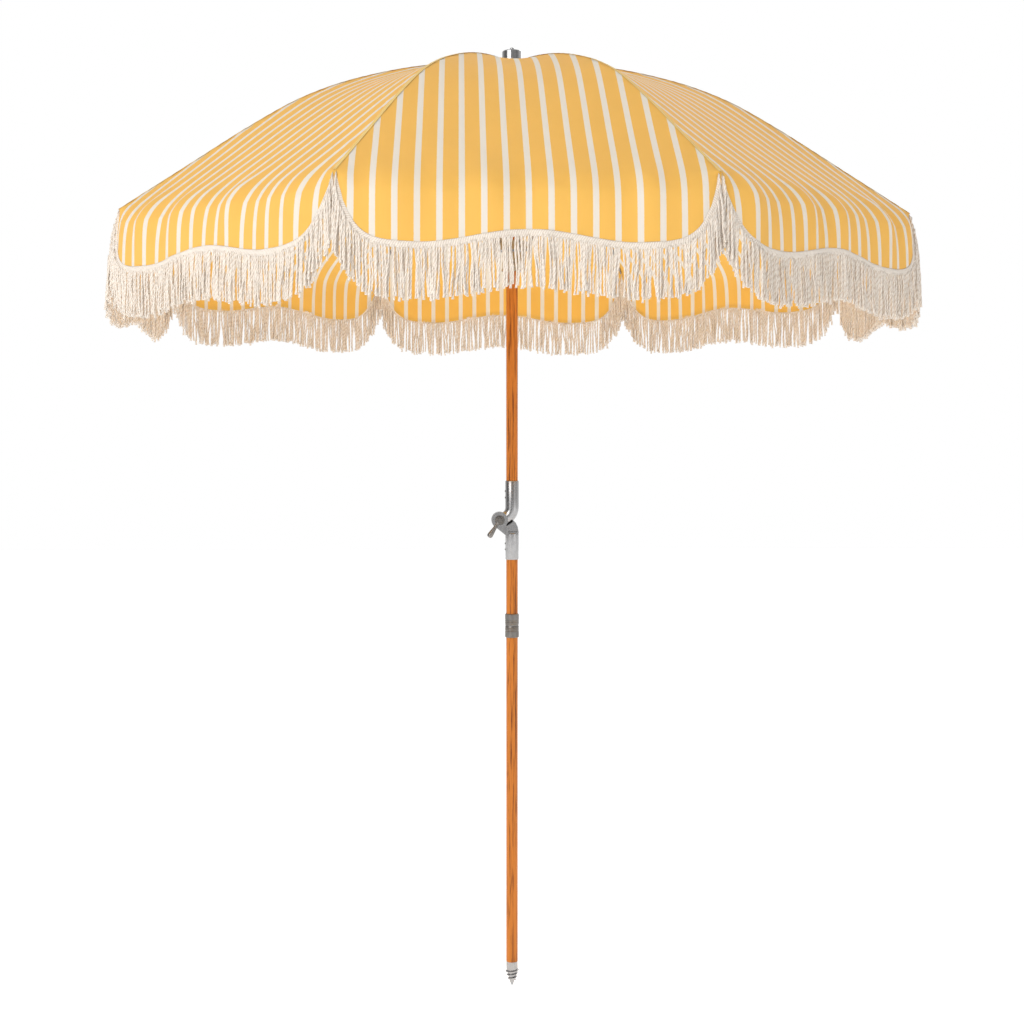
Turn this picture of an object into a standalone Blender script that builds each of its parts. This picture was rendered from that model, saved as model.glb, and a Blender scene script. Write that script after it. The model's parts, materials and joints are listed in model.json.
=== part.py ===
"""Beach umbrella: striped, fringed canopy of eight panels on a three-part wooden pole.

Metres, +Z up. The pole's axis is the Z axis and the ground screw's point is the origin.
Panel 1 faces -Y and the others follow it anticlockwise, seen from above.
"""

import math

import bmesh
import bpy
import numpy as np
from mathutils import Matrix, Vector

# Shared fits
GAP = 0.0003
RUNNING_GAP = 0.0008
CHAMFER = 0.0012
CUT_MARGIN = 0.0020
COLLINEAR = 1e-12

# Pole
POLE_R = 0.0135
POLE_TOP_Z = 2.1500
POLE_SIDES = 24
TENON_R = POLE_R - 0.0037
TENON_LENGTH = 0.0150
POLE_FOOT_Z = 0.0570

# Ground screw
SPIKE_CORE_Z = 0.0390
SPIKE_NECK_R = 0.0062
SPIKE_NECK_Z = 0.0120
SPIKE_TIP = ((0.0, 0.0), (0.0016, 0.0008), (0.0030, 0.0040))
SPIKE_SIDES = 20
FLIGHT_TURNS = 3
FLIGHT_PITCH = 0.0084
FLIGHT_TOP_Z = 0.0375
FLIGHT_TOP_R = 0.0168
FLIGHT_FOOT_R = 0.0095
FLIGHT_ROOT = 0.0034
FLIGHT_SINK = 0.0028
FLIGHT_EDGE = 0.0014

# Screw joint in the pole
JOIN_Z = 0.8382
JOIN_WASHER = 0.0015
FERRULE_LENGTH = 0.0265
FERRULE_R = POLE_R + 0.0027
FERRULE_RIM_R = POLE_R + 0.0014
FERRULE_LIP = 0.0008
FERRULE_BAND = 0.0105
FERRULE_GROOVE = 0.0007
FERRULE_GROOVE_HALF = 0.0011
FERRULE_GROOVES = 3
FERRULE_GROOVED = 0.0150
FERRULE_SOCKET = 0.0150
STUD_R = POLE_R - 0.0075
STUD_REACH = 0.0250
STUD_GRIP = 0.0100
PIN_HEAD_R = 0.0022
PIN_HEAD = 0.0009
PIN_SHANK_R = 0.0011
PIN_INSET = 0.0062

# Tilting knuckle
KNUCKLE_R = POLE_R + 0.0020
PIVOT_X = -KNUCKLE_R - 0.0135
PIVOT_Z = 1.0840
BOSS_R = 0.0190
# The upper boss ends just outside the bent tube, so the lever turns on a face clear of it
BOSS_FACE = KNUCKLE_R + 0.0003
CHEEK = KNUCKLE_R - 0.0030
ELBOW_STEPS = 9
CHEEK_GAP = 0.0005
LOWER_SLEEVE_Z = (PIVOT_Z - 0.0920, PIVOT_Z - 0.0310)
UPPER_SLEEVE_FOOT_Z = PIVOT_Z - PIVOT_X
UPPER_SLEEVE_TOP_Z = UPPER_SLEEVE_FOOT_Z + 0.0620
SLEEVE_WEB = 0.0175
SHOULDER_R = 0.0060
SHOULDER = (KNUCKLE_R - 0.0125, LOWER_SLEEVE_Z[1] + 0.0215)
SADDLE_FOOT = 0.0030
# (distance in from the sleeve's side, height above the sleeve's top)
SADDLE_RIGHT = ((0.0017, -SADDLE_FOOT), (0.0004, SADDLE_FOOT), (0.0025, 0.0150), (0.0073, 0.0250))
SADDLE_TOP_SHARES = (0.19, -0.90)
SADDLE_FLOOR = 0.0035
POCKET = (
    (0.0260, 0.0028),
    (0.0035, 0.0028),
    (0.0047, 0.0138),
    (0.0097, 0.0222),
    (0.0155, 0.0202),
    (0.0260, 0.0138),
)
LOWER_RIVET_Z = (LOWER_SLEEVE_Z[0] + 0.0230, LOWER_SLEEVE_Z[0] + 0.0370)
UPPER_RIVET_Z = (UPPER_SLEEVE_TOP_Z - 0.0390, UPPER_SLEEVE_TOP_Z - 0.0240)
BOLT_R = 0.0040
BOLT_HEAD_R = BOLT_R + 0.0035
BOLT_HEAD = 0.0045
NUT_R = BOLT_R + 0.0018
NUT = 0.0032
CLAMP_WASHER_R = BOSS_R - 0.0076
CLAMP_WASHER = 0.0012

# Clamp lever
LEVER_HUB_R = BOLT_R + 0.0045
LEVER_HUB = 0.0072
LEVER_ANGLE = math.radians(237)
LEVER_OUT = 0.0047
# (distance from the hub's axis, radius) along the round handle
LEVER_HANDLE = (
    (NUT_R + 0.0006, 0.0034),
    (0.0130, 0.0036),
    (0.0240, 0.0045),
    (0.0350, 0.0060),
    (0.0400, 0.0066),
    (0.0432, 0.0064),
    (0.0458, 0.0048),
    (0.0469, 0.0022),
)

# Ribs, stretchers and their rings
PANELS = 8
HALF_PANEL = math.pi / PANELS
RIB_WIDTH = 0.0030
RIB_HEIGHT = 0.0045
RIB_TIP_HEIGHT = 0.0060
RIB_CLOTH_GAP = 0.0008
EYE_R = 0.0034
WIRE_R = 0.0008
HUB_CORE_R = POLE_R + 0.0070
RIB_PIVOT_R = HUB_CORE_R + 0.0095
RIB_PIVOT_Z = POLE_TOP_Z - 0.0148
HUB_R = RIB_PIVOT_R + 0.0065
HUB_Z = (RIB_PIVOT_Z - 0.0162, RIB_PIVOT_Z + 0.0040)
HUB_BEVEL = 0.0040
SLOT = RIB_WIDTH + 2 * RUNNING_GAP
BRACKET_DROP = 0.0085
BRACKET_LENGTH = 0.0120
BRACKET_SINK = (0.0010, 0.0040)
BRACKET_PIN_R = 0.0014
STRETCHER_WIDTH = 0.0026
STRETCHER_END_R = 0.0030
STRETCHER_SIDE = (RIB_WIDTH + STRETCHER_WIDTH) / 2 + GAP
RUNNER_R = POLE_R + 0.0090
RUNNER_GROOVE_R = RUNNER_R - 0.0025
RUNNER_PIVOT_R = RUNNER_R + 0.0055
RUNNER_PIVOT_Z = RIB_PIVOT_Z - 0.4152
RUNNER_FOOT = 0.0580
RUNNER_FLANGE = 0.0015
RUNNER_FLANGE_HEIGHT = 0.0060
RUNNER_BEVEL = 0.0020
RUNNER_FLARE = 0.0060
RUNNER_TOP = 0.0120
RUNNER_CROWN_R = RUNNER_PIVOT_R + 0.0070
RUNNER_CROWN = 0.0160
BUTTON_R = 0.0050
BUTTON_DROP = 0.0400
BUTTON_POCKET_R = RUNNER_R - 0.0053
BUTTON_PROUD = 0.0036
BUTTON_DEPTH = 0.0018

# Canopy
CANOPY_R = 0.9000
CLOTH = 0.0012
CLOTH_INNER_R = POLE_R + 0.0080
SEAM_GAP = 0.0008
RIB_TIP_R = CANOPY_R - 0.0040
BRACKET_R = 0.4200
# (share of the way from crown to tip, height above the ribs' hinges, rise per share)
RIB_LINE = (
    (0.0, 0.0073, -0.0264),
    (0.1121, 0.0008, -0.1142),
    (0.3284, -0.0382, -0.2592),
    (0.5674, -0.1222, -0.4920),
    (0.8065, -0.2632, -0.6193),
    (1.0, -0.3832, -0.6193),
)
PANEL_ROWS = (0.0, 0.0666, 0.1577, 0.2601, 0.3626, 0.4650, 0.5674, 0.6927, 0.8406, 1.0)
PANEL_COLUMNS = (0.0, 0.035, 0.10, 0.21, 0.35, 0.50)
PANEL_SAG = 0.0140
EDGE_SAG = 0.0080
HEM_DROP = 0.1340
HEM_RISE = 0.0235
HEM_LOW_AT = 0.213
HEM_RUN = 0.038
HEM_END = 0.0060
HEM_ROWS = (0.14, 0.45, 1.0)
HANG_OUT = 0.0360
HANG_RUN = 0.0250
FRINGE_LENGTH = 0.0960
FRINGE_THICK = 0.0050
FRINGE_END_GAP = 0.0030
FRINGE_GAP = 0.0016

# Finial
CAP_Z = POLE_TOP_Z - 0.0025
CAP_RIM_Z = CAP_Z + 0.0260
CAP_TOP_Z = CAP_RIM_Z + 0.0033
CAP_R = CLOTH_INNER_R + 0.0013
CAP_SHOULDER = 0.0020
CAP_DOME = 0.0006
KNOB_R = 0.0050
KNOB_TOP_Z = CAP_TOP_Z + 0.0072

WOOD = (0.62, 0.24, 0.06, 1.0)
STEEL = (0.62, 0.64, 0.66, 1.0)
DARK_STEEL = (0.22, 0.21, 0.20, 1.0)
YELLOW = (0.94, 0.56, 0.12, 1.0)
CREAM = (0.78, 0.69, 0.58, 1.0)


def clear_scene():
    for obj in list(bpy.data.objects):
        bpy.data.objects.remove(obj, do_unlink=True)


# Materials


def material(name, colour, metallic, roughness):
    made = bpy.data.materials.new(name)
    made.use_nodes = True
    shader = made.node_tree.nodes["Principled BSDF"]
    shader.inputs["Base Color"].default_value = colour
    shader.inputs["Metallic"].default_value = metallic
    shader.inputs["Roughness"].default_value = roughness
    return made


def wood(name):
    return material(name, WOOD, 0.0, 0.45)


def bright_metal(name):
    return material(name, STEEL, 1.0, 0.30)


def dark_metal(name):
    return material(name, DARK_STEEL, 1.0, 0.45)


def striped_cloth(name):
    return material(name, YELLOW, 0.0, 0.85)


def cotton(name):
    return material(name, CREAM, 0.0, 0.90)


# Mesh helpers


def add_object(name, vertices, faces, paint):
    """A closed mesh object with its faces turned outwards."""
    mesh = bpy.data.meshes.new(name)
    mesh.from_pydata([tuple(v) for v in vertices], [], faces)
    shell = bmesh.new()
    shell.from_mesh(mesh)
    bmesh.ops.recalc_face_normals(shell, faces=shell.faces)
    shell.to_mesh(mesh)
    shell.free()
    obj = bpy.data.objects.new(name, mesh)
    bpy.context.scene.collection.objects.link(obj)
    if paint:
        mesh.materials.append(paint(name + "_material"))
    return obj


def shade_round(obj):
    obj.data.shade_smooth()
    obj.data.set_sharp_from_angle(angle=math.radians(35))
    return obj


def turned(name, outline, paint=None, sides=POLE_SIDES):
    """A solid of revolution about Z from a closed outline of (radius, height)."""
    vertices = []
    rings = []
    for radius, height in outline:
        if radius == 0.0:
            rings.append([len(vertices)] * sides)
            vertices.append((0.0, 0.0, height))
            continue
        rings.append(list(range(len(vertices), len(vertices) + sides)))
        for side in range(sides):
            angle = 2 * math.pi * side / sides
            vertices.append((radius * math.cos(angle), radius * math.sin(angle), height))
    faces = []
    count = len(outline)
    for n in range(count):
        here, there = rings[n], rings[(n + 1) % count]
        for side in range(sides):
            nxt = (side + 1) % sides
            corners = [here[side], here[nxt], there[nxt], there[side]]
            unique = list(dict.fromkeys(corners))
            if len(unique) > 2:
                faces.append(unique)
    return shade_round(add_object(name, vertices, faces, paint))


def prism(name, outline, depth, paint=None):
    """A solid of constant section: an (x, z) outline carried from depth[0] to depth[1] along Y."""
    count = len(outline)
    vertices = [(x, depth[0], z) for x, z in outline] + [(x, depth[1], z) for x, z in outline]
    faces = [list(range(count)), list(range(2 * count - 1, count - 1, -1))]
    for n in range(count):
        nxt = (n + 1) % count
        faces.append([n, nxt, nxt + count, n + count])
    return add_object(name, vertices, faces, paint)


def circle(centre, radius, sides):
    points = []
    for side in range(sides):
        angle = 2 * math.pi * (side + 0.5) / sides
        points.append((centre[0] + radius * math.cos(angle), centre[1] + radius * math.sin(angle)))
    return points


def hull(points):
    """The convex outline of 2-D points, anticlockwise."""
    ordered = sorted(set(points))

    def half(row):
        chain = []
        for p in row:
            while len(chain) > 1:
                a, b = chain[-2], chain[-1]
                turn = (b[0] - a[0]) * (p[1] - a[1]) - (b[1] - a[1]) * (p[0] - a[0])
                if turn > COLLINEAR:
                    break
                chain.pop()
            chain.append(p)
        return chain[:-1]

    return half(ordered) + half(ordered[::-1])


def cylinder(name, start, end, radius, paint=None, sides=16):
    """A cylinder between two points."""
    start, end = Vector(start), Vector(end)
    along = end - start
    outline = [(0.0, 0.0), (radius, 0.0), (radius, along.length), (0.0, along.length)]
    obj = turned(name, outline, paint, sides)
    turn = along.to_track_quat("Z", "Y").to_matrix().to_4x4()
    obj.data.transform(Matrix.Translation(start) @ turn)
    return obj


def combine(target, other, operation):
    """Applies a Boolean of one mesh on another and removes the second."""
    modifier = target.modifiers.new("combine", "BOOLEAN")
    modifier.operation = operation
    modifier.solver = "EXACT"
    modifier.object = other
    bpy.context.view_layer.update()
    evaluated = target.evaluated_get(bpy.context.evaluated_depsgraph_get())
    made = bpy.data.meshes.new_from_object(evaluated)
    target.modifiers.remove(modifier)
    old = target.data
    target.data = made
    bpy.data.meshes.remove(old)
    made.name = target.name
    bpy.data.objects.remove(other, do_unlink=True)
    return shade_round(target)


def join(target, *others):
    for other in others:
        combine(target, other, "UNION")
    return target


def cut(target, *others):
    for other in others:
        combine(target, other, "DIFFERENCE")
    return target


def set_origin(obj, point):
    """Moves the object's origin to a world point and leaves its shape in place."""
    obj.data.transform(Matrix.Translation(-Vector(point)))
    obj.location = point
    return obj


def bar(name, path, width, heights, paint=None):
    """A bar of rectangular section along an (x, z) path, centred on Y = 0."""
    points = np.array(path)
    steps = np.gradient(points, axis=0)
    normals = np.stack([-steps[:, 1], steps[:, 0]], axis=1)
    normals /= np.linalg.norm(normals, axis=1)[:, None]
    offset = normals * (np.array(heights)[:, None] / 2)
    outline = [tuple(p) for p in points + offset] + [tuple(p) for p in (points - offset)[::-1]]
    count = len(path)
    vertices = [(x, -width / 2, z) for x, z in outline] + [(x, width / 2, z) for x, z in outline]
    full = 2 * count
    faces = []
    for n in range(count - 1):
        faces.append([n, n + 1, full - 2 - n, full - 1 - n])
        faces.append([full + n, full + n + 1, 2 * full - 2 - n, 2 * full - 1 - n])
    for n in range(full):
        nxt = (n + 1) % full
        faces.append([n, nxt, nxt + full, n + full])
    return add_object(name, vertices, faces, paint)


def slab(name, grid, thickness, paint):
    """A closed sheet of even thickness about a grid of points."""
    points = np.array(grid)
    along = np.gradient(points, axis=0)
    across = np.gradient(points, axis=1)
    normals = np.cross(across, along)
    normals /= np.linalg.norm(normals, axis=2)[:, :, None]
    offset = normals * thickness / 2
    rows, columns = points.shape[:2]
    vertices = [*(points + offset).reshape(-1, 3), *(points - offset).reshape(-1, 3)]
    under = rows * columns
    faces = []
    for i in range(rows - 1):
        for j in range(columns - 1):
            a = i * columns + j
            quad = [a, a + 1, a + columns + 1, a + columns]
            faces.append(quad)
            faces.append([under + n for n in quad[::-1]])
    top = list(range(columns))
    bottom = [(rows - 1) * columns + j for j in range(columns)]
    left = [i * columns for i in range(rows)]
    right = [i * columns + columns - 1 for i in range(rows)]
    for edge in (top, bottom, left, right):
        for a, b in zip(edge, edge[1:]):
            faces.append([a, b, under + b, under + a])
    return shade_round(add_object(name, vertices, faces, paint))


# Pole


def pole_length(name, foot_z, top_z, foot_hole=0.0, top_hole=0.0, tenon=False):
    """A round length of wood, with a tenon or blind holes at its ends."""
    bore = STUD_R + RUNNING_GAP
    outline = []
    if tenon:
        outline += [(0.0, foot_z - TENON_LENGTH), (TENON_R, foot_z - TENON_LENGTH), (TENON_R, foot_z)]
    elif foot_hole:
        outline += [(0.0, foot_z + foot_hole), (bore, foot_z + foot_hole), (bore, foot_z)]
    else:
        outline += [(0.0, foot_z)]
    outline += [(POLE_R, foot_z), (POLE_R, top_z)]
    if top_hole:
        outline += [(bore, top_z), (bore, top_z - top_hole), (0.0, top_z - top_hole)]
    else:
        outline += [(0.0, top_z)]
    return turned(name, outline, wood)


def build_ground_screw():
    socket_r = TENON_R + GAP
    socket_z = POLE_FOOT_Z - TENON_LENGTH - 2 * GAP
    top_z = POLE_FOOT_Z - GAP
    core = [
        *SPIKE_TIP,
        (SPIKE_NECK_R, SPIKE_NECK_Z),
        (POLE_R, SPIKE_CORE_Z),
        (POLE_R, top_z),
        (socket_r, top_z),
        (socket_r, socket_z),
        (0.0, socket_z),
    ]
    body = turned("ground_screw", core, bright_metal, SPIKE_SIDES)
    return join(body, screw_flight())


def screw_flight():
    """The helical flight, narrowing towards the point, sunk into the core."""
    steps = FLIGHT_TURNS * 14
    vertices = []
    for n in range(steps + 1):
        share = n / steps
        angle = -2 * math.pi * FLIGHT_TURNS * share
        z = FLIGHT_TOP_Z - FLIGHT_TURNS * FLIGHT_PITCH * share
        outer = FLIGHT_TOP_R + (FLIGHT_FOOT_R - FLIGHT_TOP_R) * share
        slope = (z - SPIKE_NECK_Z) / (SPIKE_CORE_Z - SPIKE_NECK_Z)
        inner = SPIKE_NECK_R + (POLE_R - SPIKE_NECK_R) * slope - FLIGHT_SINK
        for radius, half in ((inner, FLIGHT_ROOT), (outer, FLIGHT_EDGE)):
            for side in (-1, 1):
                vertices.append(
                    (radius * math.cos(angle), radius * math.sin(angle), z + side * half / 2)
                )
    order = (0, 1, 3, 2)
    faces = [[order[k] for k in range(4)], [4 * steps + order[k] for k in range(4)][::-1]]
    for n in range(steps):
        for k in range(4):
            a, b = order[k], order[(k + 1) % 4]
            faces.append([4 * n + a, 4 * n + b, 4 * n + 4 + b, 4 * n + 4 + a])
    return add_object("flight", vertices, faces, None)


def build_lower_pole():
    top_z = ferrule_web_z(-1)
    depth = top_z - (JOIN_Z - JOIN_WASHER / 2 - STUD_REACH - RUNNING_GAP)
    return pole_length("lower_pole", POLE_FOOT_Z, top_z, top_hole=depth, tenon=True)


def ferrule_web_z(side):
    """Where the wood ends inside the lower (-1) or upper (+1) ferrule."""
    return JOIN_Z + side * (JOIN_WASHER / 2 + GAP + FERRULE_LENGTH - FERRULE_SOCKET + GAP)


def build_ferrule(name, side):
    """A grooved collar on the end of one pole length; side is -1 below the joint, +1 above."""
    near = JOIN_WASHER / 2 + GAP
    far = near + FERRULE_LENGTH
    web = far - FERRULE_SOCKET
    socket_r = POLE_R + GAP
    bore = STUD_R + GAP
    outline = [(bore, near), (bore, web), (socket_r, web), (socket_r, far), (FERRULE_RIM_R, far)]
    outline += [(FERRULE_R, far - CHAMFER), (FERRULE_R, far - FERRULE_BAND)]
    pitch = FERRULE_GROOVED / (FERRULE_GROOVES + 1)
    for n in range(FERRULE_GROOVES, 0, -1):
        z = near + n * pitch
        outline += [
            (FERRULE_R, z + FERRULE_GROOVE_HALF),
            (FERRULE_R - FERRULE_GROOVE, z),
            (FERRULE_R, z - FERRULE_GROOVE_HALF),
        ]
    outline += [(FERRULE_R - FERRULE_LIP, near)]
    outline = [(r, JOIN_Z + side * z) for r, z in outline]
    body = turned(name, outline, bright_metal)
    z = JOIN_Z + side * (far - PIN_INSET)
    start, end = (0, -FERRULE_R - CUT_MARGIN, z), (0, -POLE_R + CUT_MARGIN, z)
    return cut(body, cylinder("hole", start, end, PIN_SHANK_R + GAP, sides=8))


def build_ferrule_pin(name, side):
    z = JOIN_Z + side * (JOIN_WASHER / 2 + GAP + FERRULE_LENGTH - PIN_INSET)
    face = -FERRULE_R - GAP
    shank = cylinder(
        name, (0, -POLE_R - GAP, z), (0, face - PIN_HEAD / 2, z), PIN_SHANK_R, dark_metal, 8
    )
    head = cylinder("head", (0, face, z), (0, face - PIN_HEAD, z), PIN_HEAD_R, sides=10)
    return join(shank, head)


def build_join_washer():
    half = JOIN_WASHER / 2
    inner = STUD_R + GAP
    outer = FERRULE_R - FERRULE_LIP
    foot, top = JOIN_Z - half, JOIN_Z + half
    outline = [(inner, foot), (outer, foot), (outer, top), (inner, top)]
    return set_origin(turned("join_washer", outline, dark_metal), (0, 0, JOIN_Z))


def build_join_stud():
    foot = JOIN_Z - JOIN_WASHER / 2 - STUD_REACH
    top = ferrule_web_z(1) + STUD_GRIP
    outline = [
        (0.0, foot),
        (STUD_R - CHAMFER, foot),
        (STUD_R, foot + CHAMFER),
        (STUD_R, top - CHAMFER),
        (STUD_R - CHAMFER, top),
        (0.0, top),
    ]
    return turned("join_stud", outline, bright_metal, 24)


# Knuckle


def rivet_holes(heights):
    start, end = -KNUCKLE_R - CUT_MARGIN, -POLE_R + CUT_MARGIN
    return [cylinder("hole", (start, 0, z), (end, 0, z), PIN_SHANK_R + GAP, sides=8) for z in heights]


def build_rivet(name, z):
    face = -KNUCKLE_R - GAP
    shank = cylinder(
        name, (-POLE_R - GAP, 0, z), (face - PIN_HEAD / 2, 0, z), PIN_SHANK_R, dark_metal, 8
    )
    head = cylinder("head", (face, 0, z), (face - PIN_HEAD, 0, z), PIN_HEAD_R, sides=10)
    return join(shank, head)


def sleeve(name, open_z, web_z, closed_z):
    """A tube with one closed end, holding the end of a pole length."""
    inner = POLE_R + GAP
    step = math.copysign(CHAMFER, closed_z - open_z)
    outline = [
        (0.0, web_z),
        (inner, web_z),
        (inner, open_z),
        (KNUCKLE_R - CHAMFER / 2, open_z),
        (KNUCKLE_R, open_z + step),
        (KNUCKLE_R, closed_z - step),
        (KNUCKLE_R - CHAMFER, closed_z),
        (0.0, closed_z),
    ]
    return turned(name, outline, bright_metal)


def pivot_bore():
    reach = BOSS_FACE + LEVER_HUB + LEVER_OUT
    return cylinder("bore", (PIVOT_X, -reach, PIVOT_Z), (PIVOT_X, reach, PIVOT_Z), BOLT_R + GAP, sides=16)


def elbow_clear_z(x):
    """The highest point at x that stays clear of the elbow and the boss at rest."""
    bend = KNUCKLE_R - PIVOT_X + RUNNING_GAP
    heights = [UPPER_SLEEVE_FOOT_Z - math.sqrt(bend**2 - (x - PIVOT_X) ** 2)]
    boss = BOSS_R + RUNNING_GAP
    if abs(x - PIVOT_X) < boss:
        heights.append(PIVOT_Z - math.sqrt(boss**2 - (x - PIVOT_X) ** 2))
    return min(heights)


def build_lower_knuckle():
    foot, top = LOWER_SLEEVE_Z
    body = sleeve("lower_knuckle", foot, top - SLEEVE_WEB, top)
    outline = hull(
        circle((PIVOT_X, PIVOT_Z), BOSS_R, 32)
        + circle((0.0, top + SADDLE_FOOT), KNUCKLE_R, 24)
        + circle(SHOULDER, SHOULDER_R, 16)
    )
    join(body, prism("cheek", outline, (CHEEK_GAP, CHEEK)))
    right, left = (KNUCKLE_R * share for share in SADDLE_TOP_SHARES)
    steps = [right + (left - right) * n / 6 for n in range(7)]
    saddle = [(KNUCKLE_R - x, top + z) for x, z in SADDLE_RIGHT]
    saddle += [(x, elbow_clear_z(x)) for x in steps]
    saddle.append((left, top - SADDLE_FOOT))
    join(body, prism("saddle", saddle, (-CHEEK, CHEEK_GAP + CUT_MARGIN)))
    recess = [(KNUCKLE_R - x, top + z) for x, z in POCKET]
    pocket = prism("pocket", recess, (-KNUCKLE_R, -SADDLE_FLOOR))
    cut(body, pocket, pivot_bore(), *rivet_holes(LOWER_RIVET_Z))
    return body


def bent_tube(name, top_z):
    """A round bar down the pole's axis and round a quarter bend to the pivot."""
    bend = -PIVOT_X
    rings = [(0.0, top_z, 0.0, KNUCKLE_R - CHAMFER / 2), (0.0, top_z - CHAMFER, 0.0, KNUCKLE_R)]
    for n in range(ELBOW_STEPS + 1):
        angle = math.pi / 2 * n / ELBOW_STEPS
        x = PIVOT_X + bend * math.cos(angle)
        rings.append((x, UPPER_SLEEVE_FOOT_Z - bend * math.sin(angle), angle, KNUCKLE_R))
    vertices = []
    for x, z, angle, radius in rings:
        for side in range(POLE_SIDES):
            turn = 2 * math.pi * side / POLE_SIDES
            out = radius * math.cos(turn)
            place = (x + out * math.cos(angle), radius * math.sin(turn), z - out * math.sin(angle))
            vertices.append(place)
    faces = [list(range(POLE_SIDES)), list(range(len(vertices) - POLE_SIDES, len(vertices)))]
    for n in range(len(rings) - 1):
        for side in range(POLE_SIDES):
            nxt = (side + 1) % POLE_SIDES
            a, b = n * POLE_SIDES, (n + 1) * POLE_SIDES
            faces.append([a + side, a + nxt, b + nxt, b + side])
    return shade_round(add_object(name, vertices, faces, bright_metal))


def build_upper_knuckle():
    body = bent_tube("upper_knuckle", UPPER_SLEEVE_TOP_Z)
    floor = (0, 0, UPPER_SLEEVE_FOOT_Z + SLEEVE_WEB)
    mouth = (0, 0, UPPER_SLEEVE_TOP_Z + CUT_MARGIN)
    cut(body, cylinder("socket", floor, mouth, POLE_R + GAP, sides=POLE_SIDES))
    cut(body, *rivet_holes(UPPER_RIVET_Z))
    join(body, prism("boss", circle((PIVOT_X, PIVOT_Z), BOSS_R, 32), (-BOSS_FACE, CHAMFER)))
    below = UPPER_SLEEVE_FOOT_Z - GAP
    wide = PIVOT_X - 2 * BOSS_R
    rear = [(wide, below - 3 * BOSS_R), (-wide, below - 3 * BOSS_R), (-wide, below), (wide, below)]
    cut(body, prism("rear", rear, (-CHEEK_GAP, 2 * KNUCKLE_R)))
    recess = circle((PIVOT_X, PIVOT_Z), CLAMP_WASHER_R + GAP, 22)
    cut(
        body,
        prism("recess", recess, (-2 * KNUCKLE_R, -BOSS_FACE + CLAMP_WASHER + GAP)),
        pivot_bore(),
    )
    return set_origin(body, (PIVOT_X, 0, PIVOT_Z))


def build_clamp_washer():
    """The dark ring between the knuckle and the lever's hub."""
    depth = (-BOSS_FACE, -BOSS_FACE + CLAMP_WASHER)
    body = prism("clamp_washer", circle((PIVOT_X, PIVOT_Z), CLAMP_WASHER_R, 24), depth, dark_metal)
    cut(body, pivot_bore())
    return set_origin(body, (PIVOT_X, 0, PIVOT_Z))


def lever_depth():
    near = -BOSS_FACE - GAP
    return (near - LEVER_HUB, near)


def build_pivot_bolt():
    front = lever_depth()[0] - GAP - NUT
    back = CHEEK + GAP
    start = (PIVOT_X, back + BOLT_HEAD, PIVOT_Z)
    shank = cylinder("pivot_bolt", start, (PIVOT_X, front, PIVOT_Z), BOLT_R, dark_metal, 16)
    outline = circle((PIVOT_X, PIVOT_Z), BOLT_HEAD_R, 6)
    return join(shank, prism("head", outline, (back, back + BOLT_HEAD)))


def build_pivot_nut():
    front = lever_depth()[0] - GAP
    outline = circle((PIVOT_X, PIVOT_Z), NUT_R, 6)
    return cut(prism("pivot_nut", outline, (front - NUT, front), dark_metal), pivot_bore())


def build_clamp_lever():
    """A round handle, swelling towards its end, on a flat hub."""
    hub = prism("clamp_lever", circle((PIVOT_X, PIVOT_Z), LEVER_HUB_R, 20), lever_depth(), dark_metal)
    outline = [(0.0, LEVER_HANDLE[0][0])] + [(radius, reach) for reach, radius in LEVER_HANDLE]
    outline.append((0.0, LEVER_HANDLE[-1][0]))
    handle = turned("handle", outline, sides=14)
    turn = Matrix.Rotation(math.pi / 2 - LEVER_ANGLE, 4, "Y")
    handle.data.transform(Matrix.Translation((PIVOT_X, -BOSS_FACE - LEVER_OUT, PIVOT_Z)) @ turn)
    join(hub, handle)
    cut(hub, pivot_bore())
    return set_origin(hub, (PIVOT_X, 0, PIVOT_Z))


# Crown, ribs and runner


def ring(name, radius, z, paint):
    """A wire ring about the pole."""
    outline = circle((radius, z), WIRE_R, 6)
    return turned(name, outline, paint, 24)


def slotted(body, inner_r, outer_r, depth, width, side):
    """Cuts one radial slot for every rib, offset sideways by `side`."""
    for n in range(PANELS):
        slot = prism(
            "slot",
            [(inner_r, depth[0]), (outer_r, depth[0]), (outer_r, depth[1]), (inner_r, depth[1])],
            (side - width / 2, side + width / 2),
        )
        slot.data.transform(Matrix.Rotation(rib_azimuth(n), 4, "Z"))
        cut(body, slot)
    return body


def build_crown_hub():
    foot, top = HUB_Z
    bore = POLE_R + GAP
    groove = WIRE_R + RUNNING_GAP
    floor = RIB_PIVOT_Z - groove
    outline = [
        (bore, foot),
        (HUB_R - HUB_BEVEL, foot),
        (HUB_R, foot + HUB_BEVEL),
        (HUB_R, top),
        (RIB_PIVOT_R + groove, top),
        (RIB_PIVOT_R + groove, floor),
        (RIB_PIVOT_R - groove, floor),
        (RIB_PIVOT_R - groove, top),
        (bore, top),
    ]
    body = turned("crown_hub", outline, bright_metal)
    depth = (foot - CUT_MARGIN, top + CUT_MARGIN)
    return slotted(body, HUB_CORE_R, HUB_R + CUT_MARGIN, depth, SLOT, 0.0)


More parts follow.
